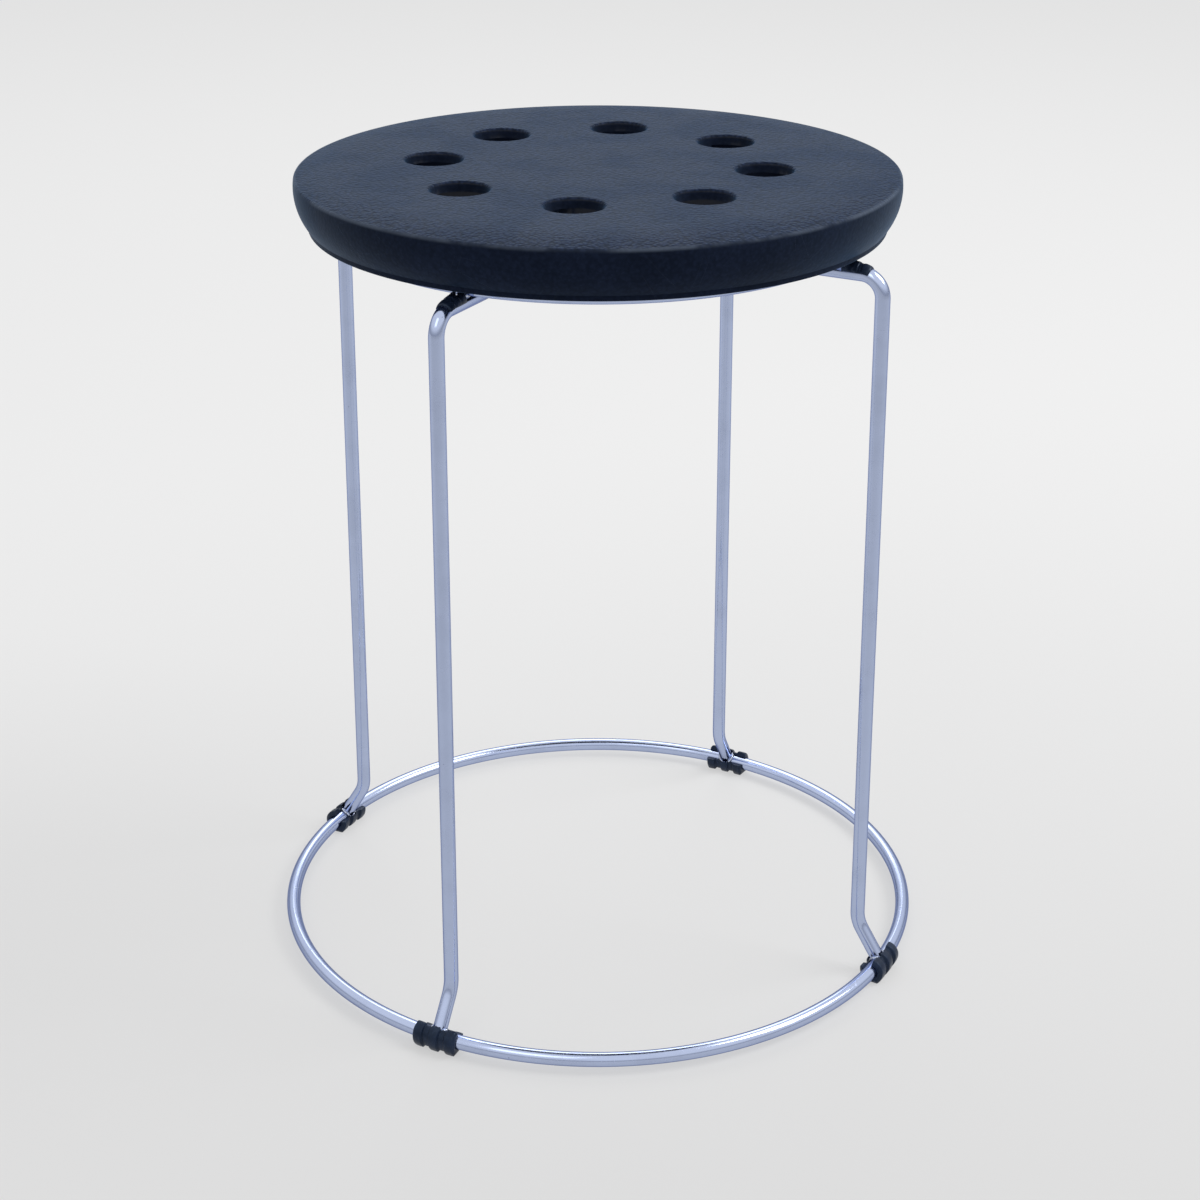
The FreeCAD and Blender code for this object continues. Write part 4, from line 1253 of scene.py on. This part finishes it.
@dataclass
class RibbedClip:
    """A clip on a rod: a section in the XZ plane that is swept along the rod, with ribs across it."""

    rod: float
    length: float
    wall: float
    rib_width: float
    rib_height: float
    clearance: float = 0.05 * MM
    groove: float = 0.8 * MM
    rib_rounding: float = 1.1 * MM
    crown: float = 0.12
    rib_count: int = 3
    softness: float = 0.3 * MM
    stations: int = 112

    @property
    def channel(self) -> float:
        """Radius of the channel."""
        return self.rod + self.clearance

    @property
    def side(self) -> float:
        """Outer radius between the ribs."""
        return self.channel + self.wall

    def draw(self, piece: Workpiece) -> Profile:
        """Draw the section between two ribs. Returns its profile, not yet closed."""
        raise NotImplementedError

    def outline(self, piece: Workpiece) -> list[BMEdge]:
        """Draw and close the section.

        Args:
            piece: The clip's workpiece.

        Returns:
            The section's edges.
        """
        self.draw(piece).close()
        bmesh.ops.remove_doubles(piece.bm, verts=piece.bm.verts, dist=EPSILON)
        return list(piece.bm.edges)

    def in_channel(self, point: Vector) -> bool:
        """Whether a point of the section lies on the channel."""
        return math.hypot(point.x, point.z) < self.channel + self.clearance

    def swollen(self, point: Vector, swell: float) -> Vector:
        """Where a point of the section lies under a rib.

        Args:
            point: Point of the section between two ribs.
            swell: How far the rib stands out there.

        Returns:
            The moved point. Points of the channel stay.
        """
        if self.in_channel(point):
            return point.copy()
        return point + Vector((point.x, 0, point.z)).normalized() * swell

    def shaped(self, point: Vector, share: float) -> Vector:
        """Where a point of the section lies at a share of the clip's length. Returns the place."""
        return self.swollen(point, self.rib_at(share))

    def rib_at(self, share: float) -> float:
        """How far the outside stands out at a place along the clip.

        Args:
            share: The place, as a share of the clip's length.

        Returns:
            The height of a rib, or less than zero in a groove.
        """
        travel = (self.length - self.rib_width) / (self.rib_count - 1)
        place = share * self.length - self.rib_width / 2
        off = abs(place - min(max(round(place / travel), 0), self.rib_count - 1) * travel)
        half = self.rib_width / 2
        rise = smooth_step((half - off) / self.rib_rounding)
        crowned = 1 - self.crown * (min(off, half) / half) ** 2
        return (self.rib_height + self.groove) * rise * crowned - self.groove

    def build(self, along: Callable[[float], Matrix]) -> Workpiece:
        """Extrude the clip from end to end.

        Args:
            along: For a share of the length, where the section's frame stands.

        Returns:
            The workpiece, with its sharp edges softened.
        """

        def station(number: int) -> Station:
            """Where the section stands at one stop of the sweep.

            Args:
                number: Number of the stop.

            Returns:
                The move of a point of the section.
            """
            share = number / self.stations
            matrix = along(share)
            return lambda p: matrix @ self.shaped(p, share)

        piece = Workpiece()
        loop = self.outline(piece)
        piece.sweep(loop, [station(number) for number in range(self.stations + 1)])
        bmesh.ops.recalc_face_normals(piece.bm, faces=piece.bm.faces)
        piece.soften(self.softness, segments=3, sharper_than=48)
        return piece


@dataclass
class SleeveClip(RibbedClip):
    """Round foot clip with a flat sole. Its mouth is turned towards the leg, which is towards -X."""

    sole: float = 3.3 * MM
    sole_flat: float = 8 * MM
    mouth_turn: float = 37
    mouth_spread: float = 39
    mouth_flare: float = 5

    @property
    def depth(self) -> float:
        """Rod's centre to the sole between the ribs."""
        return self.rod + self.sole - self.rib_height

    def draw(self, piece: Workpiece) -> Profile:
        """Draw the sole, the outer wall, the channel and the inner wall.

        Args:
            piece: The clip's workpiece.

        Returns:
            The profile, not yet closed.
        """
        flat = self.sole_flat / 2
        corner = ((self.side - flat) ** 2 + self.depth**2) / (2 * (self.side - flat))
        bend = math.asin(self.depth / corner)
        middle, spread = math.radians(90 + self.mouth_turn), math.radians(self.mouth_spread)
        near, far, flare = middle - spread, middle + spread, math.radians(self.mouth_flare)
        line = Profile(piece, -flat, -self.depth)
        for share in (-0.5, 0.0, 0.5, 1.0):
            line.line(share * flat, -self.depth)
        line.arc(self.side - corner, 0, -bend, steps=10)
        line.arc(0, 0, flare - near, steps=12)
        line.line(self.channel * math.cos(near), self.channel * math.sin(near))
        line.arc(0, 0, math.tau - 2 * spread, steps=40)
        line.line(self.side * math.cos(far + flare), self.side * math.sin(far + flare))
        line.arc(0, 0, far + flare - math.pi, steps=3)
        return line.arc(corner - self.side, 0, -bend, steps=10)

    def swollen(self, point: Vector, swell: float) -> Vector:
        """As for any clip, but the sole stays flat where a rib stands out.

        Args:
            point: Point of the section between two ribs.
            swell: How far the rib stands out there.

        Returns:
            The moved point. Points of the channel stay.
        """
        if point.z >= 0 or self.in_channel(point):
            return super().swollen(point, swell)
        flat = self.sole_flat / 2
        outwards = min(max((abs(point.x) - flat) / (self.side - flat), 0.0), 1.0)
        return point + Vector((math.copysign(outwards, point.x), 0, point.z / self.depth)) * swell


@dataclass
class SaddleClip(RibbedClip):
    """Shoulder clip: a saddle on a rod, whose back rises towards its first end like a wedge."""

    cover: float = 74
    rise: float = 2.5 * MM

    @property
    def edge(self) -> Vector:
        """Inner corner of the section's edge on the +X side."""
        cover = math.radians(self.cover)
        return Vector((math.sin(cover), 0, math.cos(cover))) * self.channel

    def half_back(self, lift: float) -> float:
        """Angle from the top of the back to its edge, where the back's centre is lifted."""
        return math.acos((self.edge.z - lift) / self.side)

    def draw(self, piece: Workpiece) -> Profile:
        """Draw the edges, the back and the channel of the thin end.

        Args:
            piece: The clip's workpiece.

        Returns:
            The profile, not yet closed.
        """
        back, cover = self.half_back(0), math.radians(self.cover)
        line = Profile(piece, self.edge.x, self.edge.z)
        line.line(self.side * math.sin(back), self.edge.z)
        line.arc(0, 0, -2 * back, steps=36)
        line.line(-self.edge.x, self.edge.z)
        return line.arc(0, 0, 2 * cover, steps=36)

    def shaped(self, point: Vector, share: float) -> Vector:
        """Lift the back towards the first end, with the grooves cut in.

        Args:
            point: Point of the thin end's section.
            share: The place along the clip, as a share of its length.

        Returns:
            The moved point. Points of the channel stay.
        """
        if self.in_channel(point):
            return point.copy()
        lift = self.rise * (1 - share)
        turn = clock(point.x, point.z) * self.half_back(lift) / self.half_back(0)
        size = self.side + self.rib_at(share) * max(math.cos(turn), 0.0)
        return Vector((size * math.sin(turn), 0, lift + size * math.cos(turn)))


@dataclass
class ClipSet:
    """The four foot clips on the base ring and the four shoulder clips on the legs' runs."""

    fit: Fit
    rods: RodFrame
    plastic: bpy.types.Material
    foot_length: float = 25.5 * MM
    foot_wall: float = 2.5 * MM
    foot_rib_width: float = 6.6 * MM
    foot_rib_height: float = 0.7 * MM
    notch_radius: float = 5.3 * MM
    saddle_start: float = 4.6 * MM
    saddle_length: float = 14 * MM
    saddle_wall: float = 0.7 * MM
    saddle_rib_width: float = 3.9 * MM
    saddle_rib_height: float = 0.1 * MM
    saddle_groove: float = 0.3 * MM
    saddle_rib_rounding: float = 0.7 * MM
    saddle_softness: float = 0.2 * MM
    slot_width: float = 3.4 * MM
    slot_depth: float = 5 * MM
    slot_rounding: float = 0.9 * MM
    smooth_under: float = 38

    def foot(self, place: LegPlace) -> None:
        """Bend a foot clip round the base ring, notch it for its leg and dress it.

        Args:
            place: The clip's leg.
        """
        fit = self.fit
        clip = SleeveClip(
            fit.rod, self.foot_length, self.foot_wall, self.foot_rib_width, self.foot_rib_height
        )
        section = Matrix.Translation((fit.ring, 0, fit.ring_height))

        def along(share: float) -> Matrix:
            """Where the section stands at a share of the clip's length. Returns the matrix."""
            return Matrix.Rotation((share - 0.5) * clip.length / fit.ring, 4, "Z") @ section

        self.finish(clip.build(along), self.notch(), place, f"foot_clip_{place.side}", "sleeve")

    def notch(self) -> Workpiece:
        """The round cutter that clears a leg and its bead out of a foot clip.

        Returns:
            The cutter's workpiece.
        """
        cutter = Workpiece()
        axis, reach = self.rods.kick_axis, self.rods.kick_height
        bmesh.ops.create_cone(
            cutter.bm, cap_ends=True, segments=64, radius1=self.notch_radius, radius2=self.notch_radius,
            depth=reach, matrix=Matrix.Translation((0, 0, reach / 2)),
        )
        tilt = UP.rotation_difference(axis).to_matrix().to_4x4()
        return cutter.place(Matrix.Translation(self.rods.corners[3]) @ tilt)

    def shoulder(self, place: LegPlace) -> None:
        """Lay a shoulder clip on a leg's run, between the upper ring and the bend, and dress it.

        Args:
            place: The clip's leg.
        """
        fit = self.fit
        clip = SaddleClip(
            fit.rod, self.saddle_length, self.saddle_wall, self.saddle_rib_width, self.saddle_rib_height,
            groove=self.saddle_groove, rib_rounding=self.saddle_rib_rounding,
            softness=self.saddle_softness, stations=84,
        )
        start, bend = fit.upper_ring + self.saddle_start, self.rods.shoulder_bend
        bend_start = self.rods.bend_start
        across = Matrix.Rotation(math.radians(90), 4, "Z")

        def along(share: float) -> Matrix:
            """Where the section stands on the run and on the bend after it.

            Args:
                share: The place along the clip, as a share of its length.

            Returns:
                The section's matrix.
            """
            reached = start + share * clip.length
            turned = Matrix.Rotation(max(reached - bend_start, 0.0) / bend, 4, "Y")
            centre = Matrix.Translation((min(reached, bend_start), 0, fit.run_height - bend))
            return centre @ turned @ Matrix.Translation((0, 0, bend)) @ across

        name = f"shoulder_clip_{place.side}"
        self.finish(clip.build(along), self.slot(start, clip.side * 2), place, name, "saddle")

    def slot(self, start: float, height: float) -> Workpiece:
        """The cutter of the slot in a shoulder clip's inner end.

        Args:
            start: Where the clip's inner end stands, along X.
            height: How high the cutter reaches above the rod's centre.

        Returns:
            The cutter's workpiece.
        """
        cutter = Workpiece()
        bmesh.ops.create_cube(cutter.bm, size=1)
        upright = [
            edge for edge in cutter.bm.edges if abs(edge.verts[0].co.z - edge.verts[1].co.z) > EPSILON
        ]
        size = Matrix.Diagonal((2 * self.slot_depth, self.slot_width, height, 1))
        cutter.place(Matrix.Translation((start, 0, self.fit.run_height + height / 2)) @ size)
        bmesh.ops.bevel(
            cutter.bm, geom=upright, offset=self.slot_rounding, segments=5, profile=0.5, affect="EDGES",
            material=-1,
        )
        return cutter

    def finish(self, body: Workpiece, cutter: Workpiece, place: LegPlace, node: str, kind: str) -> None:
        """Cut a clip out, turn it to its leg and dress it.

        Args:
            body: The clip, drawn along +X.
            cutter: What is cut away, drawn the same way.
            place: The clip's leg.
            node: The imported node's name.
            kind: Last word of the piece's name.
        """
        made = body.to_object(f"{node}_{kind}")
        unite(made, cutter.to_object("cutter"), "DIFFERENCE")
        clean(made)
        made.data.transform(place.turn)
        made.data.shade_smooth()
        made.data.set_sharp_from_angle(angle=math.radians(self.smooth_under))
        dress(made, self.plastic, Slot.CLIP, node)

    def build(self) -> None:
        """Make all eight clips."""
        for place in LegPlace:
            self.foot(place)
            self.shoulder(place)


@dataclass
class Seat:
    """The moulded seat: a shell open underneath, with hole collars, ribs and screw bosses."""

    fit: Fit
    depth: float = 30 * MM
    widest_drop: float = 8.5 * MM
    side_arc: float = 30 * MM
    fall: float = 2.8 * MM
    fall_width: float = 28.4 * MM
    crease: float = 2 * MM
    band: float = 3 * MM
    band_step: float = 0.5 * MM
    rim_rounding: float = 0.8 * MM
    top_wall: float = 3.2 * MM
    side_wall: float = 3 * MM
    holes: int = 8
    hole: float = 15.5 * MM
    hole_circle: float = 89 * MM
    hole_twist: float = 1.9
    lip: float = 1.8 * MM
    collar_depth: float = 5.5 * MM
    collar_wall: float = 2.2 * MM
    rib: float = 2.2 * MM
    hub: float = 43.9 * MM
    hub_depth: float = 18 * MM
    boss: float = 6 * MM
    pilot: float = 2.15 * MM
    pilot_depth: float = 17 * MM
    screw_inset: float = 14 * MM
    lug_half_thickness: float = 1 * MM
    turn_steps: int = 288
    hole_steps: int = 72
    boss_steps: int = 48
    smooth_under: float = 32

    @property
    def side_centre(self) -> tuple[float, float]:
        """Centre of the side's arc, in section."""
        return self.fit.seat_radius - self.side_arc, self.fit.top - self.widest_drop

    def on_side(self, height: float, inset: float = 0.0) -> float:
        """How far out the side's arc, or one set in from it, lies at a height."""
        x, z = self.side_centre
        return x + math.sqrt((self.side_arc - inset) ** 2 - (z - height) ** 2)

    def under_side(self, radius: float, inset: float) -> float:
        """At what height an arc set in from the side passes a radius, below the widest line."""
        x, z = self.side_centre
        return z - math.sqrt((self.side_arc - inset) ** 2 - (radius - x) ** 2)

    @property
    def rim(self) -> float:
        """Height of the rim's lower edge."""
        return self.fit.top - self.depth

    @property
    def ceiling(self) -> float:
        """Height of the underside of the top."""
        return self.fit.top - self.top_wall

    @property
    def in_top(self) -> float:
        """A height inside the top's wall, where ribs end."""
        return self.fit.top - self.top_wall / 2

    @property
    def flat(self) -> float:
        """Radius of the flat part of the top."""
        return self.on_side(self.fit.top - self.fall) - self.fall_width

    @property
    def rim_radius(self) -> float:
        """Outer radius of the band along the rim."""
        return self.on_side(self.rim + self.band) - self.band_step

    def draw_outside(self, line: Profile) -> None:
        """Draw the crown, the rounded crease, the side, the rim's band and the inside of the wall.

        Args:
            line: The profile, which begins where the flat top ends.
        """
        top, side_x, side_z = self.fit.top, *self.side_centre
        crown = (self.fall_width**2 + self.fall**2) / (2 * self.fall)
        centre_crown, centre_side = Vector((self.flat, top - crown)), Vector((side_x, side_z))
        gap = centre_side - centre_crown
        reach_crown, reach_side = crown - self.crease, self.side_arc - self.crease
        aside = (gap.length_squared + reach_crown**2 - reach_side**2) / (2 * gap.length)
        off = math.sqrt(reach_crown**2 - aside**2)
        along = gap.normalized()
        crease = centre_crown + along * aside + Vector((along.y, -along.x)) * off
        start, end = crease - centre_crown, crease - centre_side
        start, end = clock(start.x, start.y), clock(end.x, end.y)
        band = self.rim + self.band
        down = clock(self.on_side(band) - side_x, band - side_z)
        line.arc(*centre_crown, start, steps=24)
        line.arc(*crease, end - start, steps=8)
        line.arc(side_x, side_z, down - end, steps=36)
        line.line(self.rim_radius, band - self.band_step / 4)
        line.line(self.rim_radius, self.rim + self.rim_rounding)
        line.arc(self.rim_radius - self.rim_rounding, self.rim + self.rim_rounding, math.pi / 2, steps=6)
        inner = self.rim_radius - self.side_wall
        line.line(inner, self.rim)
        meets = self.under_side(inner, self.side_wall)
        line.line(inner, meets)
        low_crease = top - self.fall - self.top_wall
        from_angle = clock(inner - side_x, meets - side_z)
        to_angle = clock(self.on_side(low_crease, self.side_wall) - side_x, low_crease - side_z)
        line.arc(side_x, side_z, to_angle - from_angle, steps=20)
        line.line(self.flat, self.ceiling)

    def draw_hole(self, piece: Workpiece, number: int) -> None:
        """Spin one hole with its rounded lip and its collar, and move it to its place in the ring.

        Args:
            piece: The shell's workpiece.
            number: Number of the hole.
        """
        top, low = self.fit.top, self.fit.top - self.collar_depth
        line = Profile(piece, self.hole + self.lip, top)
        line.arc(self.hole + self.lip, top - self.lip, -math.pi / 2, steps=8)
        line.line(self.hole, low).line(self.hole + self.collar_wall, low)
        line.line(self.hole + self.collar_wall, self.ceiling)
        older = line.older
        piece.spin_all(self.hole_steps, line.verts)
        angle = math.radians((number + 0.5) * 360 / self.holes - self.hole_twist)
        drawn = [vert for vert in piece.bm.verts if vert not in older]
        centre = Vector((math.cos(angle), math.sin(angle), 0)) * self.hole_circle
        bmesh.ops.translate(piece.bm, verts=drawn, vec=centre)

    def shell(self) -> bpy.types.Object:
        """The shell with its holes, closed and hollow underneath.

        Returns:
            Its object.
        """
        piece = Workpiece()
        line = Profile(piece, self.flat, self.fit.top)
        self.draw_outside(line)
        piece.spin_all(self.turn_steps, line.verts)
        for number in range(self.holes):
            self.draw_hole(piece, number)
        for height, normal in ((self.fit.top, UP), (self.ceiling, -UP)):
            rim = [
                edge for edge in piece.bm.edges
                if edge.is_boundary and all(abs(vert.co.z - height) < EPSILON for vert in edge.verts)
            ]
            bmesh.ops.triangle_fill(piece.bm, edges=rim, use_beauty=True, normal=normal)
        return piece.to_object("seat_moulding")

    def round_rib(self, radius: float, low: float) -> bpy.types.Object:
        """A rib that runs round the seat, up into the top.

        Args:
            radius: Radius of its middle.
            low: Height of its lower edge.

        Returns:
            Its object.
        """
        piece = Workpiece()
        inner, outer = radius - self.rib / 2, radius + self.rib / 2
        line = Profile(piece, inner, low)
        line.line(outer, low).line(outer, self.in_top).line(inner, self.in_top).close()
        piece.spin_all(self.turn_steps)
        return piece.to_object("round_rib")

    def long_rib(self, turn: Matrix) -> bpy.types.Object:
        """A rib from the hub to the round rib on the upper ring.

        Args:
            turn: The turn from +X to its direction.

        Returns:
            Its object.
        """
        piece = Workpiece()
        low, bearing = self.fit.top - self.hub_depth, self.fit.upper_ring
        line = Profile(piece, self.hub, low)
        line.line(bearing, self.rim).line(bearing, self.in_top).line(self.hub, self.in_top).close()
        piece.plate(self.rib)
        return piece.place(turn).to_object("long_rib")

    def short_rib(self, turn: Matrix) -> bpy.types.Object:
        """A rib from the round rib to the side.

        Args:
            turn: The turn from +X to its direction.

        Returns:
            Its object.
        """
        piece = Workpiece()
        bearing, inset = self.fit.upper_ring, self.side_wall / 2
        edge = self.rim_radius - inset
        meets = self.under_side(edge, inset)
        shoulder = self.fit.top - self.fall - self.top_wall / 2
        x, z = self.side_centre
        line = Profile(piece, bearing, self.rim).line(edge, self.rim).line(edge, meets)
        turn_up = clock(self.on_side(shoulder, inset) - x, shoulder - z) - clock(edge - x, meets - z)
        line.arc(x, z, turn_up, steps=10)
        line.line(bearing, self.in_top).close()
        piece.plate(self.rib)
        return piece.place(turn).to_object("short_rib")

    def screw_boss(self, turn: Matrix) -> bpy.types.Object:
        """A boss that stands on a lug, with its blind hole.

        Args:
            turn: The turn from +X to its lug.

        Returns:
            Its object.
        """
        piece = Workpiece()
        low = self.fit.upper_height + self.lug_half_thickness
        line = Profile(piece, 0, low + self.pilot_depth)
        line.line(self.pilot, low + self.pilot_depth).line(self.pilot, low).line(self.boss, low)
        line.line(self.boss, self.in_top).line(0, self.in_top)
        piece.spin_all(self.boss_steps)
        piece.place(turn @ Matrix.Translation((self.fit.upper_ring - self.screw_inset, 0, 0)))
        return piece.to_object("screw_boss")

    def build(self, plastic: bpy.types.Material) -> None:
        """Mould the seat in one piece and dress it.

        Args:
            plastic: Its material.
        """
        seat = self.shell()
        parts = [
            self.round_rib(self.hub, self.fit.top - self.hub_depth),
            self.round_rib(self.fit.upper_ring, self.rim),
        ]
        for number in range(self.holes):
            turn = Matrix.Rotation(math.tau * number / self.holes, 4, "Z")
            parts += [self.long_rib(turn), self.short_rib(turn)]
        parts += [self.screw_boss(place.turn) for place in LugPlace]
        for part in parts:
            unite(seat, part)
        clean(seat)
        seat.data.shade_smooth()
        seat.data.set_sharp_from_angle(angle=math.radians(self.smooth_under))
        even = seat.modifiers.new("even_shading", "WEIGHTED_NORMAL")
        even.keep_sharp = True
        dress(seat, plastic, Slot.SEAT, "seat_shell")


@dataclass
class SeatFixings:
    """Lugs inside the upper ring, and the screws and washers that hold the seat to them."""

    fit: Fit
    chrome: bpy.types.Material
    bead: bpy.types.Material
    steel: bpy.types.Material
    lug_softness: float = 0.22 * MM
    screw_softness: float = 0.12 * MM
    washer_softness: float = 0.15 * MM
    bead_radius: float = 1.6 * MM
    bead_length: float = 13 * MM
    bead_sides: int = 20
    bead_end: float = 0.02
    lug_half_thickness: float = 1 * MM
    ripples: int = 9
    ripple: float = 0.1
    ripple_steps: int = 8

    def softened(self, node: str, name: str, width: float) -> bpy.types.Object:
        """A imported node's shape with its sharp edges broken.

        Args:
            node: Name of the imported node.
            name: Name of the new piece.
            width: Width of the broken edges.

        Returns:
            The new object.
        """
        piece = Workpiece.copy_of(node)
        piece.soften(width)
        return piece.to_object(name)

    def lug_bead(self, place: LugPlace) -> None:
        """Lay the rippled bead along a lug's lower edge, tapered at both ends.

        Args:
            place: The lug's side.
        """
        radius = self.fit.upper_ring - self.fit.thin_rod
        count = self.ripple_steps * self.ripples

        def station(number: int) -> Station:
            """Where the bead's round section stands at one stop of the sweep.

            Args:
                number: Number of the stop.

            Returns:
                The move of a point of the section.
            """
            share = number / count
            turn = Matrix.Rotation((share - 0.5) * self.bead_length / radius, 4, "Z")
            taper = math.sqrt(max(1 - (2 * share - 1) ** 4, self.bead_end))
            ripple = 1 - self.ripple + self.ripple * abs(math.sin(math.pi * share * self.ripples))
            middle = Vector((radius, 0, self.fit.upper_height - self.lug_half_thickness))
            return lambda p: turn @ (middle + Vector((p.y, 0, p.z)) * taper * ripple)

        piece = Workpiece()
        loop = piece.circle(self.bead_radius, self.bead_sides)
        piece.sweep(loop, [station(number) for number in range(count + 1)])
        name = f"lug_weld_{place.side}"
        bead = piece.place(place.turn).to_object(f"{name}_bead", smooth_under=60)
        dress(bead, self.bead, Slot.CHROME, name)

    def build(self) -> None:
        """Make the lugs, their beads, the screws and the washers."""
        for place in LugPlace:
            node = f"seat_lug_{place.side}"
            dress(self.softened(node, f"{node}_plate", self.lug_softness), self.chrome, Slot.CHROME, node)
            self.lug_bead(place)
        for node, name, width in (
            ("seat_screws", "seat_screw_set", self.screw_softness),
            ("seat_washers", "seat_washer_set", self.washer_softness),
        ):
            dress(self.softened(node, name, width), self.steel, Slot.STEEL, node)


@dataclass
class Studio:
    """Camera, pale floor and soft light."""

    camera_place: Vector = field(default_factory=lambda: Vector((-0.3543, -1.1808, 0.7407)))
    camera_pitch: float = 66.16
    camera_turn: float = -16.7
    lens: float = 70.11
    sensor: float = 36
    shift: float = 0.00179
    floor_size: float = 24.0
    floor_tone: Colour = (0.86, 0.86, 0.86)
    floor_roughness: float = 0.9
    floor_near: Colour = (0.66, 0.66, 0.66)
    floor_far: Colour = (0.88, 0.88, 0.88)
    fade_from: float = -0.8
    fade_to: float = 0.9
    shadow_share: float = 0.32
    world_tone: Colour = (0.83, 0.83, 0.835)
    world_light: float = 0.62
    horizon_tone: Colour = (0.46, 0.47, 0.50)
    zenith_tone: Colour = (1.0, 1.0, 1.0)
    horizon_top: float = 0.42
    aim: Vector = field(default_factory=lambda: Vector((0, 0, 0.25)))

    def camera(self) -> None:
        """Stand the camera where the photograph was taken."""
        data = bpy.data.cameras.new("studio_camera")
        data.lens = self.lens
        data.sensor_width = self.sensor
        data.shift_x = self.shift
        data.clip_start, data.clip_end = 0.05, 60
        made = bpy.data.objects.new("studio_camera", data)
        made.location = self.camera_place
        made.rotation_euler = (math.radians(self.camera_pitch), 0, math.radians(self.camera_turn))
        bpy.context.scene.collection.objects.link(made)
        bpy.context.scene.camera = made

    @staticmethod
    def shown(board: NodeBoard, rays: bpy.types.Node) -> bpy.types.NodeSocket:
        """Mask of the rays that show a thing: the camera's, and those that a mirror or glass sends on.

        Args:
            board: The board of the floor's or the room's nodes.
            rays: Its node that tells rays apart.

        Returns:
            The mask.
        """
        seen = rays.outputs
        direct = board.most(seen["Is Camera Ray"], seen["Is Glossy Ray"])
        return board.most(direct, seen["Is Transmission Ray"])

    def floor(self) -> None:
        """Lay the pale floor. Its own tone makes the paleness, and a share of it takes light and shadow."""
        piece = Workpiece()
        bmesh.ops.create_grid(piece.bm, x_segments=8, y_segments=8, size=self.floor_size / 2)
        material = bpy.data.materials.new("studio_floor")
        material.use_nodes = True
        board = NodeBoard(material.node_tree)
        away = board.add("SeparateXYZ", {"Vector": board.place()}).outputs["Y"]
        share = board.between(away, self.fade_from, self.fade_to)
        shader = material.node_tree.nodes["Principled BSDF"]
        shader.inputs["Base Color"].default_value = (*self.floor_tone, 1)
        shader.inputs["Roughness"].default_value = self.floor_roughness
        shader.inputs["Specular IOR Level"].default_value = 0.0
        glow = board.add("Emission", {"Color": board.blend(share, self.floor_near, self.floor_far)})
        shown = self.shown(board, board.add("LightPath"))
        mixed = board.add("MixShader", {"Fac": board.times(shown, 1 - self.shadow_share)})
        board.feed(mixed.inputs[1], shader.outputs[0])
        board.feed(mixed.inputs[2], glow.outputs[0])
        board.feed(material.node_tree.nodes["Material Output"].inputs["Surface"], mixed.outputs[0])
        made = piece.to_object("studio_floor")
        made.data.materials.append(material)

    def world(self) -> None:
        """Fill the room with even light. The chrome sees it darker towards the room's walls."""
        world = bpy.data.worlds.new("studio_world")
        world.use_nodes = True
        board = NodeBoard(world.node_tree)
        background = world.node_tree.nodes["Background"]
        rays = board.add("LightPath")
        up = board.upwards(board.add("TexCoord").outputs["Generated"])
        walls = board.blend(board.between(up, 0.0, self.horizon_top), self.horizon_tone, self.zenith_tone)
        tone = board.blend(rays.outputs["Is Glossy Ray"], self.world_tone, walls)
        board.feed(background.inputs["Color"], tone)
        strength = board.between(self.shown(board, rays), 0.0, 1.0, self.world_light, 1.0)
        board.feed(background.inputs["Strength"], strength)
        bpy.context.scene.world = world

    def lamp(self, name: str, place: Sequence[float], size: float, energy: float) -> None:
        """Hang a square soft box that faces the stool.

        Args:
            name: Name of the lamp.
            place: Where it hangs.
            size: Width of its square.
            energy: Its power in watts.
        """
        data = bpy.data.lights.new(name, "AREA")
        data.shape = "SQUARE"
        data.size = size
        data.energy = energy
        made = bpy.data.objects.new(name, data)
        made.location = place
        made.rotation_euler = (self.aim - Vector(place)).to_track_quat("-Z", "Y").to_euler()
        bpy.context.scene.collection.objects.link(made)

    def build(self) -> None:
        """Set up the whole studio."""
        bpy.context.scene.view_settings.view_transform = "Standard"
        self.camera()
        self.floor()
        self.world()
        self.lamp("key_soft_box", (1.6, -0.5, 2.1), size=1.3, energy=30)
        self.lamp("fill_soft_box", (-1.2, -1.3, 2.1), size=1.2, energy=4.5)
        self.lamp("back_soft_box", (0.5, 2.0, 2.2), size=1.6, energy=14)


def main() -> None:
    """Build the studio and every sub-assembly of the stool, in order."""
    logging.basicConfig(level=logging.INFO, format="%(name)s: %(message)s")
    Studio().build()
    effects, fit = Effects(), Fit.measured()
    LOG.info("measured %s", fit)
    chrome = ChromePlate(effects=effects).build()
    seat = Seat(fit=fit)
    plastic = SeatPlastic(
        effects=effects,
        top=fit.top,
        crease_radius=fit.seat_radius - seat.band_step,
        crease_height=fit.top - seat.fall,
    ).build()
    clip = ClipPlastic(effects=effects).build()
    bead = WeldBead(effects=effects).build()
    steel = ZincSteel(effects=effects).build()
    rods = RodFrame(fit=fit, chrome=chrome, bead=bead)
    rods.build()
    ClipSet(fit=fit, rods=rods, plastic=clip).build()
    seat.build(plastic)
    SeatFixings(fit=fit, chrome=chrome, bead=bead, steel=steel).build()


if __name__ == "__main__":
    main()
